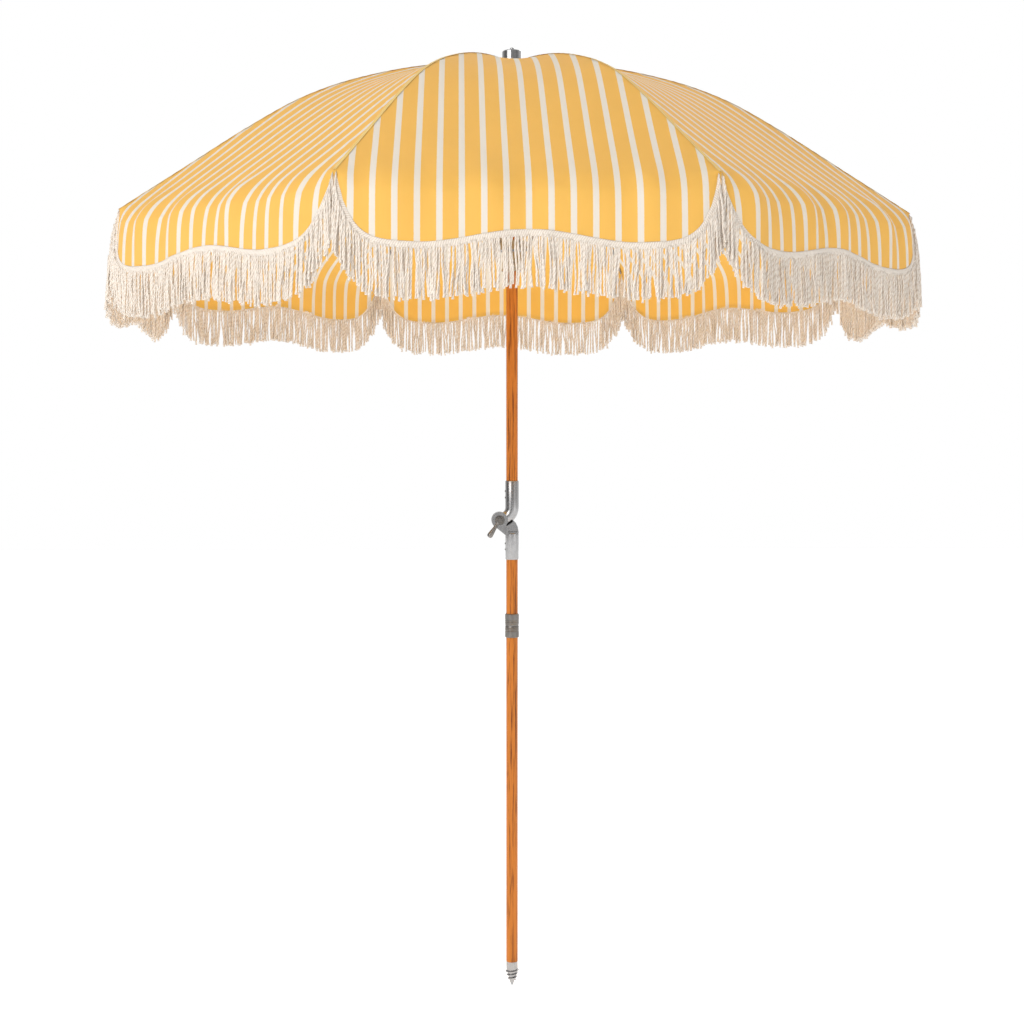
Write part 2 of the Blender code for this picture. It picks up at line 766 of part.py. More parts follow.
def build_runner():
    """Its origin is at the middle of the stretchers' ring."""
    z = RUNNER_PIVOT_Z
    bore = POLE_R + RUNNING_GAP
    groove = WIRE_R + RUNNING_GAP
    foot = z - RUNNER_FOOT
    top = z + RUNNER_TOP
    outline = [
        (bore, foot),
        (RUNNER_R + RUNNER_FLANGE, foot),
        (RUNNER_R + RUNNER_FLANGE, foot + RUNNER_FLANGE_HEIGHT),
        (RUNNER_R, foot + RUNNER_FLANGE_HEIGHT + RUNNER_BEVEL),
        (RUNNER_R, z - RUNNER_CROWN + RUNNER_BEVEL),
        (RUNNER_CROWN_R, z - RUNNER_CROWN + RUNNER_FLARE),
        (RUNNER_CROWN_R, top),
        (RUNNER_PIVOT_R + groove, top),
        (RUNNER_PIVOT_R + groove, z - groove),
        (RUNNER_PIVOT_R - groove, z - groove),
        (RUNNER_PIVOT_R - groove, top),
        (bore, top),
    ]
    body = turned("runner", outline, bright_metal)
    slotted(
        body,
        RUNNER_GROOVE_R,
        RUNNER_CROWN_R + CUT_MARGIN,
        (z - RUNNER_CROWN, top + CUT_MARGIN),
        STRETCHER_WIDTH + 2 * RUNNING_GAP,
        STRETCHER_SIDE,
    )
    pocket_z = z - BUTTON_DROP
    floor, mouth = (0, -BUTTON_POCKET_R, pocket_z), (0, -RUNNER_CROWN_R, pocket_z)
    cut(body, cylinder("pocket", floor, mouth, BUTTON_R + GAP, sides=16))
    return set_origin(body, (0, 0, z))


def build_runner_button():
    z = RUNNER_PIVOT_Z - BUTTON_DROP
    inner = -RUNNER_R + BUTTON_DEPTH
    outer = -RUNNER_R - BUTTON_PROUD
    body = cylinder("runner_button", (0, inner, z), (0, outer, z), BUTTON_R, dark_metal, 16)
    return set_origin(body, (0, 0, z))


def rib_azimuth(index):
    return panel_azimuth(index) + HALF_PANEL


def panel_azimuth(index):
    return -math.pi / 2 + 2 * HALF_PANEL * index


def cloth_radius(share):
    return CLOTH_INNER_R + share * (CANOPY_R - CLOTH_INNER_R)


def rib_line(radius):
    """Height of the cloth over a rib: cubic pieces through the rib line's points."""
    share = (radius - CLOTH_INNER_R) / (CANOPY_R - CLOTH_INNER_R)
    for (s0, z0, m0), (s1, z1, m1) in zip(RIB_LINE, RIB_LINE[1:]):
        if share <= s1:
            break
    span = s1 - s0
    t = (share - s0) / span
    start = (2 * t**3 - 3 * t**2 + 1) * z0 + (t**3 - 2 * t**2 + t) * span * m0
    return RIB_PIVOT_Z + start + (-2 * t**3 + 3 * t**2) * z1 + (t**3 - t**2) * span * m1


def rib_centre(radius):
    """Height of a rib's middle line, clear of the cloth where both slope most."""
    return rib_line(radius) - CLOTH - RIB_HEIGHT / 2 - RIB_CLOTH_GAP


def bracket_pivot():
    return BRACKET_R, rib_centre(BRACKET_R) - RIB_HEIGHT / 2 - BRACKET_DROP / 2


def eye_hole(centre, radius, side=0.0):
    return prism("hole", circle(centre, radius, 10), (side - RIB_WIDTH, side + RIB_WIDTH))


def plate(name, outline, width, side=0.0):
    """A flat plate of the given width about the plane Y = side."""
    return prism(name, outline, (side - width / 2, side + width / 2))


def build_rib_mesh():
    """One rib in the XZ plane, as a mesh with its origin on its hinge."""
    radii = [*map(cloth_radius, PANEL_ROWS[1:-1]), RIB_TIP_R - 2 * RIB_TIP_HEIGHT, RIB_TIP_R]
    path = [(RIB_PIVOT_R, RIB_PIVOT_Z)] + [(r, rib_centre(r)) for r in radii]
    heights = [RIB_HEIGHT] * len(path)
    path[-1] = (RIB_TIP_R, path[-1][1] - (RIB_TIP_HEIGHT - RIB_HEIGHT) / 2)
    heights[-1] = RIB_TIP_HEIGHT
    body = bar("rib", path, RIB_WIDTH, heights)
    x, z = bracket_pivot()
    half = BRACKET_LENGTH / 2
    top = z + BRACKET_DROP / 2
    lug = hull(
        [(x - half, top + BRACKET_SINK[0]), (x + half, top - BRACKET_SINK[1])]
        + circle((x, z), BRACKET_DROP / 2, 12)
    )
    end = RIB_WIDTH / 2 + 3 * GAP + STRETCHER_WIDTH
    join(
        body,
        plate("eye", circle((RIB_PIVOT_R, RIB_PIVOT_Z), EYE_R, 12), RIB_WIDTH + GAP),
        plate("lug", lug, RIB_WIDTH - GAP),
        cylinder("pin", (x, 0, z), (x, end, z), BRACKET_PIN_R, sides=8),
    )
    cut(body, eye_hole((RIB_PIVOT_R, RIB_PIVOT_Z), WIRE_R + RUNNING_GAP))
    return set_origin(body, (RIB_PIVOT_R, 0, RIB_PIVOT_Z))


def build_stretcher_mesh():
    """One stretcher in its own plane beside the rib, with its origin on the bracket pin."""
    outer = bracket_pivot()
    inner = (math.sqrt(RUNNER_PIVOT_R**2 - STRETCHER_SIDE**2), RUNNER_PIVOT_Z)
    outline = hull(circle(inner, STRETCHER_END_R, 12) + circle(outer, STRETCHER_END_R, 12))
    body = plate("stretcher", outline, STRETCHER_WIDTH, STRETCHER_SIDE)
    cut(
        body,
        eye_hole(inner, WIRE_R + RUNNING_GAP, STRETCHER_SIDE),
        eye_hole(outer, BRACKET_PIN_R + GAP, STRETCHER_SIDE),
    )
    return set_origin(body, (outer[0], 0, outer[1]))


def spread(pattern, name, azimuth, paint):
    """A copy of a part made in the XZ plane, turned about the pole to its own place."""
    mesh = pattern.data.copy()
    mesh.name = name
    mesh.materials.clear()
    mesh.materials.append(paint(name + "_material"))
    obj = bpy.data.objects.new(name, mesh)
    bpy.context.scene.collection.objects.link(obj)
    turn = Matrix.Rotation(azimuth, 4, "Z")
    obj.matrix_world = turn @ Matrix.Translation(pattern.location)
    return obj


def build_frame():
    rib = build_rib_mesh()
    stretcher = build_stretcher_mesh()
    for n in range(PANELS):
        spread(rib, f"rib_{n + 1}", rib_azimuth(n), bright_metal)
        spread(stretcher, f"stretcher_{n + 1}", rib_azimuth(n), bright_metal)
    for pattern in (rib, stretcher):
        bpy.data.objects.remove(pattern, do_unlink=True)


# Canopy


def columns():
    """Shares of a panel's width, from one rib to the next."""
    left = list(PANEL_COLUMNS)
    return left + [1 - t for t in left[-2::-1]]


def hem_drop(t):
    """How far the hem hangs below the rib tips, at share t of the panel's width."""
    x = min(t, 1 - t)
    if x <= 0:
        return HEM_END
    low = HEM_DROP * (1 - math.exp(-x / HEM_RUN))
    rise = min(max((x - HEM_LOW_AT) / (0.5 - HEM_LOW_AT), 0.0), 1.0)
    return max(low - HEM_RISE * rise * rise * (3 - 2 * rise), HEM_END)


def hang_out(t, drop):
    """How far outside the line between the rib tips the cloth hangs."""
    x = min(t, 1 - t)
    ends = 1 - math.exp(-x / HEM_RUN)
    return HANG_OUT * ends * (1 - math.exp(-drop / HANG_RUN))


def sag(radius, t):
    share = (radius - CLOTH_INNER_R) / (CANOPY_R - CLOTH_INNER_R)
    depth = PANEL_SAG * math.sin(math.pi * share**0.8) + EDGE_SAG * share
    return depth * 4 * t * (1 - t)


def half_width(radius):
    return radius * math.sin(HALF_PANEL)


def panel_grid():
    """The middle surface of the front panel, as rows of points."""
    rows = []
    for radius in map(cloth_radius, PANEL_ROWS):
        width = half_width(radius) - SEAM_GAP / 2 / math.cos(HALF_PANEL)
        out = radius * math.cos(HALF_PANEL)
        height = rib_line(radius)
        rows.append([((2 * t - 1) * width, -out, height - sag(radius, t)) for t in columns()])
    width = half_width(CANOPY_R) - SEAM_GAP / 2 / math.cos(HALF_PANEL)
    out = CANOPY_R * math.cos(HALF_PANEL)
    for share in HEM_ROWS:
        row = []
        for t in columns():
            fall = sag(CANOPY_R, t) + (hem_drop(t) - sag(CANOPY_R, t)) * share
            drop = fall - sag(CANOPY_R, t)
            row.append(((2 * t - 1) * width, -out - hang_out(t, drop), rib_line(CANOPY_R) - fall))
        rows.append(row)
    return rows


def fringe_grid():
    """The middle surface of the front fringe: the hem, and the same line lower down."""
    hem = panel_grid()[-1]
    width = half_width(CANOPY_R) - FRINGE_END_GAP
    share = (hem[1][0] + width) / (hem[1][0] - hem[0][0])
    first = [a * share + b * (1 - share) for a, b in zip(hem[0], hem[1])]
    last = (-first[0], first[1], first[2])
    line = [tuple(first)] + hem[1:-1] + [last]
    rows = []
    for drop in (FRINGE_GAP, FRINGE_LENGTH / 2, FRINGE_LENGTH):
        rows.append([(x, y, z - drop) for x, y, z in line])
    return rows


def build_canopy():
    panel = slab("panel", panel_grid(), CLOTH, None)
    fringe = slab("fringe", fringe_grid(), FRINGE_THICK, None)
    pivot = (0, -RIB_PIVOT_R * math.cos(HALF_PANEL), RIB_PIVOT_Z)
    hem = (0, -CANOPY_R * math.cos(HALF_PANEL), rib_line(CANOPY_R))
    set_origin(panel, pivot)
    set_origin(fringe, hem)
    for n in range(PANELS):
        turn = panel_azimuth(n) + math.pi / 2
        spread(panel, f"canopy_panel_{n + 1}", turn, striped_cloth)
        spread(fringe, f"fringe_{n + 1}", turn, cotton)
    for pattern in (panel, fringe):
        bpy.data.objects.remove(pattern, do_unlink=True)


# Finial


def build_finial_cap():
    bore = POLE_R + GAP
    roof = POLE_TOP_Z + GAP
    outline = [
        (0.0, roof),
        (bore, roof),
        (bore, CAP_Z),
        (CAP_R - CHAMFER, CAP_Z),
        (CAP_R, CAP_Z + CHAMFER),
        (CAP_R, CAP_RIM_Z),
        (CAP_R - CAP_SHOULDER, CAP_RIM_Z + CAP_SHOULDER),
        (CAP_R * 0.6, CAP_TOP_Z - CAP_DOME),
        (KNOB_R, CAP_TOP_Z),
        (0.0, CAP_TOP_Z),
    ]
    return turned("finial_cap", outline, bright_metal)


def build_finial_knob():
    foot = CAP_TOP_Z + GAP
    outline = [
        (0.0, foot),
        (KNOB_R - CHAMFER, foot),
        (KNOB_R, foot + CHAMFER),
        (KNOB_R, KNOB_TOP_Z - 2 * CHAMFER),
        (KNOB_R - CHAMFER, KNOB_TOP_Z - CAP_DOME),
        (0.0, KNOB_TOP_Z),
    ]
    return turned("finial_knob", outline, bright_metal, 20)


def build_pole():
    build_ground_screw()
    build_lower_pole()
    build_ferrule("lower_ferrule", -1)
    build_ferrule_pin("lower_ferrule_pin", -1)
    build_join_washer()
    build_join_stud()
    build_ferrule("upper_ferrule", 1)
    build_ferrule_pin("upper_ferrule_pin", 1)
    web = LOWER_SLEEVE_Z[1] - SLEEVE_WEB - GAP
    pole_length("middle_pole", ferrule_web_z(1), web, foot_hole=STUD_GRIP + RUNNING_GAP)
    pole_length("upper_pole", UPPER_SLEEVE_FOOT_Z + SLEEVE_WEB + GAP, POLE_TOP_Z)


def build_knuckle():
    build_lower_knuckle()
    build_upper_knuckle()
    for n, z in enumerate(LOWER_RIVET_Z):
        build_rivet(f"lower_knuckle_rivet_{n + 1}", z)
    for n, z in enumerate(UPPER_RIVET_Z):
        build_rivet(f"upper_knuckle_rivet_{n + 1}", z)
    build_clamp_washer()
    build_pivot_bolt()
    build_pivot_nut()
    build_clamp_lever()


def main():
    clear_scene()
    build_pole()
    build_knuckle()
    build_crown_hub()
    ring("crown_wire", RIB_PIVOT_R, RIB_PIVOT_Z, dark_metal)
    build_runner()
    set_origin(ring("runner_wire", RUNNER_PIVOT_R, RUNNER_PIVOT_Z, dark_metal), (0, 0, RUNNER_PIVOT_Z))
    build_runner_button()
    build_frame()
    build_canopy()
    build_finial_cap()
    build_finial_knob()


main()
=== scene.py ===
"""Beach umbrella: the finished look of each piece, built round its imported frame.

Run as a script, it loads the frame, makes the cloth canopy, its seams, hem braid and cotton
fringe, finishes the wood and the metal, and sets up a plain studio with one camera.
"""

import json
import math

import bpy
import numpy as np
from bpy.props import FloatProperty, FloatVectorProperty, IntProperty, PointerProperty
from mathutils import Matrix, Vector

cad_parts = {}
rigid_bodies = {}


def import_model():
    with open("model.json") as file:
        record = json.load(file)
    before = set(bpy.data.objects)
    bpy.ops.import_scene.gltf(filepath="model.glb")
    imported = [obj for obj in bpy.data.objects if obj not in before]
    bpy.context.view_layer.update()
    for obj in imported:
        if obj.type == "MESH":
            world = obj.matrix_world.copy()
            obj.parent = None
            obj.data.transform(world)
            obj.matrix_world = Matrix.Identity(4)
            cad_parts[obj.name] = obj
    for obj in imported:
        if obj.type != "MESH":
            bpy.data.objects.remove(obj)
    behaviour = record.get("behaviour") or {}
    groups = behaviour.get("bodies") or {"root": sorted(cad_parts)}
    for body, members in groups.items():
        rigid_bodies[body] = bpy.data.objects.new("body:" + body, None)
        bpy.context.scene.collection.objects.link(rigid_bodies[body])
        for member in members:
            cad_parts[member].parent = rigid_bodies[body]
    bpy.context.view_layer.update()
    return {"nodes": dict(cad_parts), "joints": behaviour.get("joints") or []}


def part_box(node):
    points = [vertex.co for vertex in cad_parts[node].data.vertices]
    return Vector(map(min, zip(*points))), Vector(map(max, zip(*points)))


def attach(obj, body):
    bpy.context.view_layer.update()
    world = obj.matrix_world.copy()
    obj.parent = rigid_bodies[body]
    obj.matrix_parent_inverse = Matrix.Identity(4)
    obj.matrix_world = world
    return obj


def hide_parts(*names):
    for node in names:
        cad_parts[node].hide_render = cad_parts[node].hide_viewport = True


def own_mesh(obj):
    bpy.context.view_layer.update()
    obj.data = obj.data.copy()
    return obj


bl_info = {
    "name": "Beach Umbrella",
    "version": (1, 0, 0),
    "blender": (4, 5, 0),
    "location": "3D View > Sidebar > Umbrella",
    "description": "Builds a fringed, striped beach umbrella round its frame",
    "category": "Add Mesh",
}

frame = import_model()

PANELS = 8
HALF_PANEL = math.pi / PANELS
HINGE = {j["name"]: j for j in frame["joints"]}


def pivot(joint):
    return Vector(HINGE[joint]["pos_m"])


# The line between two rib tips, on which the cloth stops being taut and starts to hang
HEM_PIVOT = pivot("fringe_1_hang")
CANOPY_R = -HEM_PIVOT.y / math.cos(HALF_PANEL)
TIP_Z = HEM_PIVOT.z
CLOTH_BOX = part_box("canopy_panel_1")
HEM_DROP = TIP_Z - CLOTH_BOX[0][2]


def panel_turn(index):
    return Matrix.Rotation(2 * HALF_PANEL * index, 4, "Z")


# Settings


class UMBRELLA_PG_cloth(bpy.types.PropertyGroup):
    stripe_pitch: FloatProperty(
        name="Stripe pitch",
        description="Distance from one white stripe to the next",
        default=0.0395,
        unit="LENGTH",
    )
    stripe_width: FloatProperty(
        name="White stripe", description="Width of a white stripe", default=0.0112, unit="LENGTH"
    )
    thickness: FloatProperty(
        name="Cloth thickness", description="Thickness of the cloth", default=0.0007, unit="LENGTH"
    )
    fold_depth: FloatProperty(
        name="Fold depth",
        description="Height of the soft folds above the hem",
        default=0.0040,
        unit="LENGTH",
    )
    pucker_depth: FloatProperty(
        name="Pucker depth",
        description="Height of the puckers along the seams",
        default=0.0011,
        unit="LENGTH",
    )
    yellow: FloatVectorProperty(
        name="Yellow",
        description="Colour of the broad stripes",
        default=(0.915, 0.610, 0.150),
        subtype="COLOR",
    )
    white: FloatVectorProperty(
        name="White",
        description="Colour of the narrow stripes",
        default=(0.86, 0.845, 0.815),
        subtype="COLOR",
    )


class UMBRELLA_PG_fringe(bpy.types.PropertyGroup):
    length: FloatProperty(
        name="Length",
        description="From the braid's top edge to the cords' ends",
        default=0.1010,
        unit="LENGTH",
    )
    cord_diameter: FloatProperty(
        name="Cord diameter", description="Diameter of one cord", default=0.0039, unit="LENGTH"
    )
    spacing: FloatProperty(
        name="Cord spacing",
        description="Distance between cords along the braid",
        default=0.0034,
        unit="LENGTH",
    )
    braid_width: FloatProperty(
        name="Braid width", description="Width of the hem braid", default=0.0130, unit="LENGTH"
    )
    braid_thickness: FloatProperty(
        name="Braid thickness", description="Thickness of the braid", default=0.0030, unit="LENGTH"
    )
    seed: IntProperty(name="Seed", description="Seed for the cords' variety", default=7, min=0)
    cotton: FloatVectorProperty(
        name="Cotton",
        description="Colour of the cotton",
        default=(0.85, 0.77, 0.68),
        subtype="COLOR",
    )


class UMBRELLA_PG_hardware(bpy.types.PropertyGroup):
    wood_light: FloatVectorProperty(
        name="Light wood",
        description="Colour between the wood's grain lines",
        default=(0.56, 0.175, 0.020),
        subtype="COLOR",
    )
    wood_dark: FloatVectorProperty(
        name="Dark wood",
        description="Colour of the wood's grain lines",
        default=(0.12, 0.026, 0.003),
        subtype="COLOR",
    )
    bright: FloatVectorProperty(
        name="Bright metal",
        description="Colour of the drawn metal",
        default=(0.40, 0.395, 0.395),
        subtype="COLOR",
    )
    dull: FloatVectorProperty(
        name="Dull metal",
        description="Colour of the lever and bolts",
        default=(0.24, 0.225, 0.210),
        subtype="COLOR",
    )


class UMBRELLA_PG_studio(bpy.types.PropertyGroup):
    distance: FloatProperty(
        name="Camera distance",
        description="From the pole to the camera",
        default=3.546,
        unit="LENGTH",
    )
    height: FloatProperty(
        name="Camera height",
        description="Height of the camera above the screw's point",
        default=1.270,
        unit="LENGTH",
    )
    lens: FloatProperty(name="Lens", description="Focal length", default=53.5, unit="CAMERA")
    side: FloatProperty(
        name="Side angle",
        description="How far the camera stands round to the left",
        default=math.radians(2.0),
        subtype="ANGLE",
    )
    drop: FloatProperty(
        name="Vertical shift",
        description="Share of the frame by which the level view is lowered",
        default=-0.0703,
    )


# Shader helpers


class Socket:
    """A number in a node tree, with arithmetic that adds Math nodes."""

    def __init__(self, shade, output):
        self.shade = shade
        self.output = output

    def __add__(self, other):
        return self.shade.math("ADD", self, other)

    def __sub__(self, other):
        return self.shade.math("SUBTRACT", self, other)

    def __mul__(self, other):
        return self.shade.math("MULTIPLY", self, other)

    def __truediv__(self, other):
        return self.shade.math("DIVIDE", self, other)

    def __radd__(self, other):
        return self.shade.math("ADD", other, self)

    def __rsub__(self, other):
        return self.shade.math("SUBTRACT", other, self)

    def __rmul__(self, other):
        return self.shade.math("MULTIPLY", other, self)


class Shade:
    """Builds one material's node tree."""

    def __init__(self, name):
        self.material = bpy.data.materials.new(name)
        self.material.use_nodes = True
        self.tree = self.material.node_tree
        self.tree.nodes.clear()

    def node(self, kind, settings=None, sockets=None):
        made = self.tree.nodes.new(kind)
        for name, value in (settings or {}).items():
            setattr(made, name, value)
        for name, value in (sockets or {}).items():
            self.plug(made.inputs[name], value)
        return made

    def plug(self, socket, value):
        if isinstance(value, Socket):
            self.tree.links.new(value.output, socket)
        elif isinstance(value, bpy.types.NodeSocket):
            self.tree.links.new(value, socket)
        elif socket.type == "RGBA" and len(value) == 3:
            socket.default_value = (*value, 1.0)
        else:
            socket.default_value = value

    def math(self, operation, a, b=0.0, c=0.0):
        made = self.node("ShaderNodeMath", {"operation": operation}, {0: a, 1: b, 2: c})
        return Socket(self, made.outputs[0])

    def smooth(self, value, low, high, to_low=0.0, to_high=1.0):
        made = self.node(
            "ShaderNodeMapRange",
            {"interpolation_type": "SMOOTHSTEP"},
            {"Value": value, "From Min": low, "From Max": high, "To Min": to_low, "To Max": to_high},
        )
        return Socket(self, made.outputs["Result"])

    def noise(self, vector, scale, detail=2.0, rough=0.5):
        made = self.node(
            "ShaderNodeTexNoise",
            {},
            {"Vector": vector, "Scale": scale, "Detail": detail, "Roughness": rough},
        )
        return Socket(self, made.outputs["Fac"])

    def mix(self, factor, first, second, blend="MIX"):
        made = self.node("ShaderNodeMix", {"data_type": "RGBA", "blend_type": blend})
        self.plug(made.inputs["Factor"], factor)
        self.plug(made.inputs[6], first)
        self.plug(made.inputs[7], second)
        return made.outputs[2]

    def stretched(self, scale):
        """Object coordinates stretched along each axis."""
        source = self.node("ShaderNodeTexCoord").outputs["Object"]
        made = self.node("ShaderNodeMapping", {}, {"Vector": source, "Scale": scale})
        return made.outputs["Vector"]

    def uv(self):
        source = self.node("ShaderNodeUVMap", {"uv_map": CLOTH_UV}).outputs["UV"]
        split = self.node("ShaderNodeSeparateXYZ", {}, {"Vector": source})
        return source, Socket(self, split.outputs["X"]), Socket(self, split.outputs["Y"])

    def bump(self, height, strength, distance):
        return self.node(
            "ShaderNodeBump", {}, {"Height": height, "Strength": strength, "Distance": distance}
        ).outputs["Normal"]

    def principled(self, **sockets):
        names = {key.replace("_", " ").title().replace("Ior", "IOR"): value for key, value in sockets.items()}
        return self.node("ShaderNodeBsdfPrincipled", {}, names).outputs["BSDF"]

    def finish(self, shader):
        self.node("ShaderNodeOutputMaterial", {}, {"Surface": shader})
        return self.material


CLOTH_UV = "ThreadMap"


# Materials


def striped_cloth():
    """Plain-woven cotton with narrow white stripes, which lets some light through."""
    cloth = bpy.context.scene.umbrella_cloth
    shade = Shade("striped_cloth")
    vector, across, along = shade.uv()
    pitch = cloth.stripe_pitch
    ragged = (shade.noise(vector, 260.0, 1.0) - 0.5) * 0.0008
    place = shade.math("PINGPONG", across + ragged, pitch / 2)
    edge = cloth.stripe_width / 2
    yellow_share = shade.smooth(place, edge - 0.0004, edge + 0.0004)
    fade = shade.noise(vector, 9.0, 4.0, 0.6)
    slub = shade.noise(
        shade.node("ShaderNodeMapping", {}, {"Vector": vector, "Scale": (900.0, 34.0, 1.0)}).outputs[0],
        1.0,
        2.0,
    )
    yellow = shade.mix(fade, [c * 0.93 for c in cloth.yellow], [min(c * 1.05, 1.0) for c in cloth.yellow])
    white = shade.mix(fade, [c * 0.96 for c in cloth.white], cloth.white)
    colour = shade.mix(yellow_share, white, yellow)
    colour = shade.mix(shade.smooth(slub, 0.35, 0.75, 0.0, 0.16), colour, (1.0, 0.93, 0.78), "MULTIPLY")
    warp = shade.math("SINE", across * (math.tau / WEAVE_PITCH))
    weft = shade.math("SINE", along * (math.tau / WEAVE_PITCH))
    normal = shade.bump(warp * weft * 0.5 + slub, 0.35, 0.00025)
    through = shade.mix(yellow_share, (0.97, 0.89, 0.74), (1.0, 0.70, 0.13))
    skin = shade.principled(
        base_color=colour,
        roughness=shade.smooth(slub, 0.2, 0.8, 0.78, 0.92),
        sheen_weight=0.18,
        sheen_roughness=0.45,
        normal=normal,
    )
    glow = shade.node("ShaderNodeBsdfTranslucent", {}, {"Color": through}).outputs[0]
    both = shade.node("ShaderNodeMixShader", {}, {0: CLOTH_GLOW, 1: skin, 2: glow}).outputs[0]
    return shade.finish(both)


WEAVE_PITCH = 0.0011
CLOTH_GLOW = 0.34


def seam_tape():
    """The felled seam over each rib: plain yellow cloth with two rows of stitches."""
    cloth = bpy.context.scene.umbrella_cloth
    shade = Shade("seam_tape")
    vector, across, along = shade.uv()
    side = shade.math("ABSOLUTE", across)
    row = shade.smooth(shade.math("ABSOLUTE", side - SEAM_STITCH), 0.0002, 0.0005, 1.0, 0.0)
    dash = shade.smooth(shade.math("PINGPONG", along, STITCH_PITCH / 2), 0.0004, 0.0007)
    stitch = row * dash
    fade = shade.noise(vector, 40.0, 3.0)
    base = shade.mix(fade, [c * 0.86 for c in cloth.yellow], [c * 0.97 for c in cloth.yellow])
    colour = shade.mix(stitch, base, (0.93, 0.80, 0.55))
    weave = shade.math("SINE", across * (math.tau / WEAVE_PITCH)) * shade.math(
        "SINE", along * (math.tau / WEAVE_PITCH)
    )
    normal = shade.bump(weave * 0.2 + stitch, 0.5, 0.0004)
    return shade.finish(shade.principled(base_color=colour, roughness=0.86, sheen_weight=0.15, normal=normal))


SEAM_STITCH = 0.0021
STITCH_PITCH = 0.0034


def twisted_cotton():
    """Two-ply cotton cord, with painted shade in its twist grooves: the U of its map goes round the cord and
    the V along it, in metres.
    """
    fringe = bpy.context.scene.umbrella_fringe
    shade = Shade("twisted_cotton")
    _, around, along = shade.uv()
    lay = shade.math("PINGPONG", around * CORD_PLIES + along * (1.0 / CORD_LAY), 0.5)
    # Painted shade: the twist grooves between the two plies are darkened to brown in the colour below.
    groove_shade = shade.smooth(lay, 0.0, 0.17, 1.0, 0.0)
    fluff = shade.noise(shade.stretched((700.0, 700.0, 260.0)), 1.0, 3.0, 0.6)
    tone = shade.noise(shade.stretched((38.0, 38.0, 7.0)), 1.0, 2.0)
    light = shade.mix(tone, [c * 0.90 for c in fringe.cotton], [min(c * 1.09, 1.0) for c in fringe.cotton])
    colour = shade.mix(groove_shade * 0.75, light, (0.54, 0.40, 0.28))
    height = shade.smooth(lay, 0.0, 0.5) + fluff * 0.25
    normal = shade.bump(height, 0.8, 0.0009)
    rough = shade.smooth(fluff, 0.2, 0.8, 0.82, 0.97)
    return shade.finish(
        shade.principled(
            base_color=colour, roughness=rough, sheen_weight=0.30, sheen_roughness=0.5, normal=normal
        )
    )


CORD_PLIES = 2
CORD_LAY = 0.0105


def oiled_wood():
    """Orange-brown hardwood with dark grain drawn out along the pole, and pale cloudy bands along it that are
    a painted highlight.
    """
    hardware = bpy.context.scene.umbrella_hardware
    shade = Shade("oiled_wood")
    long_grain = shade.stretched((230.0, 230.0, 7.5))
    fine_grain = shade.stretched((520.0, 520.0, 9.0))
    highlight_bands = shade.stretched((70.0, 70.0, 2.2))
    grain = shade.noise(long_grain, 1.0, 5.0, 0.62)
    pores = shade.noise(fine_grain, 1.0, 3.0, 0.55)
    highlight_cloud = shade.noise(highlight_bands, 1.0, 3.0, 0.5)
    streak = shade.smooth(grain, 0.50, 0.60)
    colour = shade.mix(streak * 0.92, hardware.wood_light, hardware.wood_dark)
    # Painted highlight: long pale cloudy bands, the light wood made 1.22 times brighter.
    painted_highlight_wood = [c * 1.22 for c in hardware.wood_light]
    colour = shade.mix(shade.smooth(highlight_cloud, 0.38, 0.70, 0.0, 0.55), colour, painted_highlight_wood)
    colour = shade.mix(shade.smooth(pores, 0.60, 0.72, 0.0, 0.6), colour, hardware.wood_dark)
    normal = shade.bump(pores * 0.6 + grain * 0.4, 0.25, 0.0004)
    rough = shade.smooth(pores, 0.3, 0.7, 0.33, 0.55)
    return shade.finish(
        shade.principled(
            base_color=colour, roughness=rough, specular_ior_level=0.28, normal=normal
        )
    )


def drawn_metal(name, colour, low, high, wear=0.3):
    """Metal with fine draw lines along Z, small dents and dulled patches."""
    shade = Shade(name)
    lines = shade.noise(shade.stretched((900.0, 900.0, 12.0)), 1.0, 3.0, 0.6)
    patches = shade.noise(shade.stretched((60.0, 60.0, 60.0)), 1.0, 4.0, 0.6)
    specks = shade.noise(shade.stretched((420.0, 420.0, 420.0)), 1.0, 2.0)
    tint = shade.mix(shade.smooth(patches, 0.35, 0.75, 0.0, wear), colour, [c * 0.62 for c in colour])
    tint = shade.mix(shade.smooth(specks, 0.66, 0.74, 0.0, 0.5), tint, [c * 0.45 for c in colour])
    rough = shade.smooth(lines * 0.6 + patches * 0.4, 0.3, 0.7, low, high)
    normal = shade.bump(lines + specks * 0.4, 0.06, 0.00008)
    return shade.finish(shade.principled(base_color=tint, metallic=1.0, roughness=rough, normal=normal))


def bright_metal():
    return drawn_metal("bright_metal", bpy.context.scene.umbrella_hardware.bright, 0.16, 0.34)


def zinc_plate():
    zinc = [c * 0.9 for c in bpy.context.scene.umbrella_hardware.bright]
    return drawn_metal("zinc_plate", zinc, 0.26, 0.46)


def dull_metal():
    return drawn_metal("dull_metal", bpy.context.scene.umbrella_hardware.dull, 0.30, 0.50, 0.6)


# Cloth geometry


def rib_line():
    """(radii, heights) of the cloth along a rib, read from the first panel's edge."""
    mesh = frame["nodes"]["canopy_panel_1"].data
    edge = Vector((math.sin(HALF_PANEL), -math.cos(HALF_PANEL), 0.0))
    side = Vector((math.cos(HALF_PANEL), math.sin(HALF_PANEL), 0.0))
    found = sorted(
        (vertex.co.dot(edge), vertex.co.z)
        for vertex in mesh.vertices
        if abs(vertex.co.dot(side)) < SEAM_REACH and vertex.co.z > TIP_Z - SEAM_REACH
    )
    rows = [[found[0]]]
    for point in found[1:]:
        if point[0] - rows[-1][-1][0] > ROW_GAP:
            rows.append([])
        rows[-1].append(point)
    points = np.array([np.mean(row, axis=0) for row in rows])
    return points[:, 0], points[:, 1]


SEAM_REACH = 0.0010
ROW_GAP = 0.015


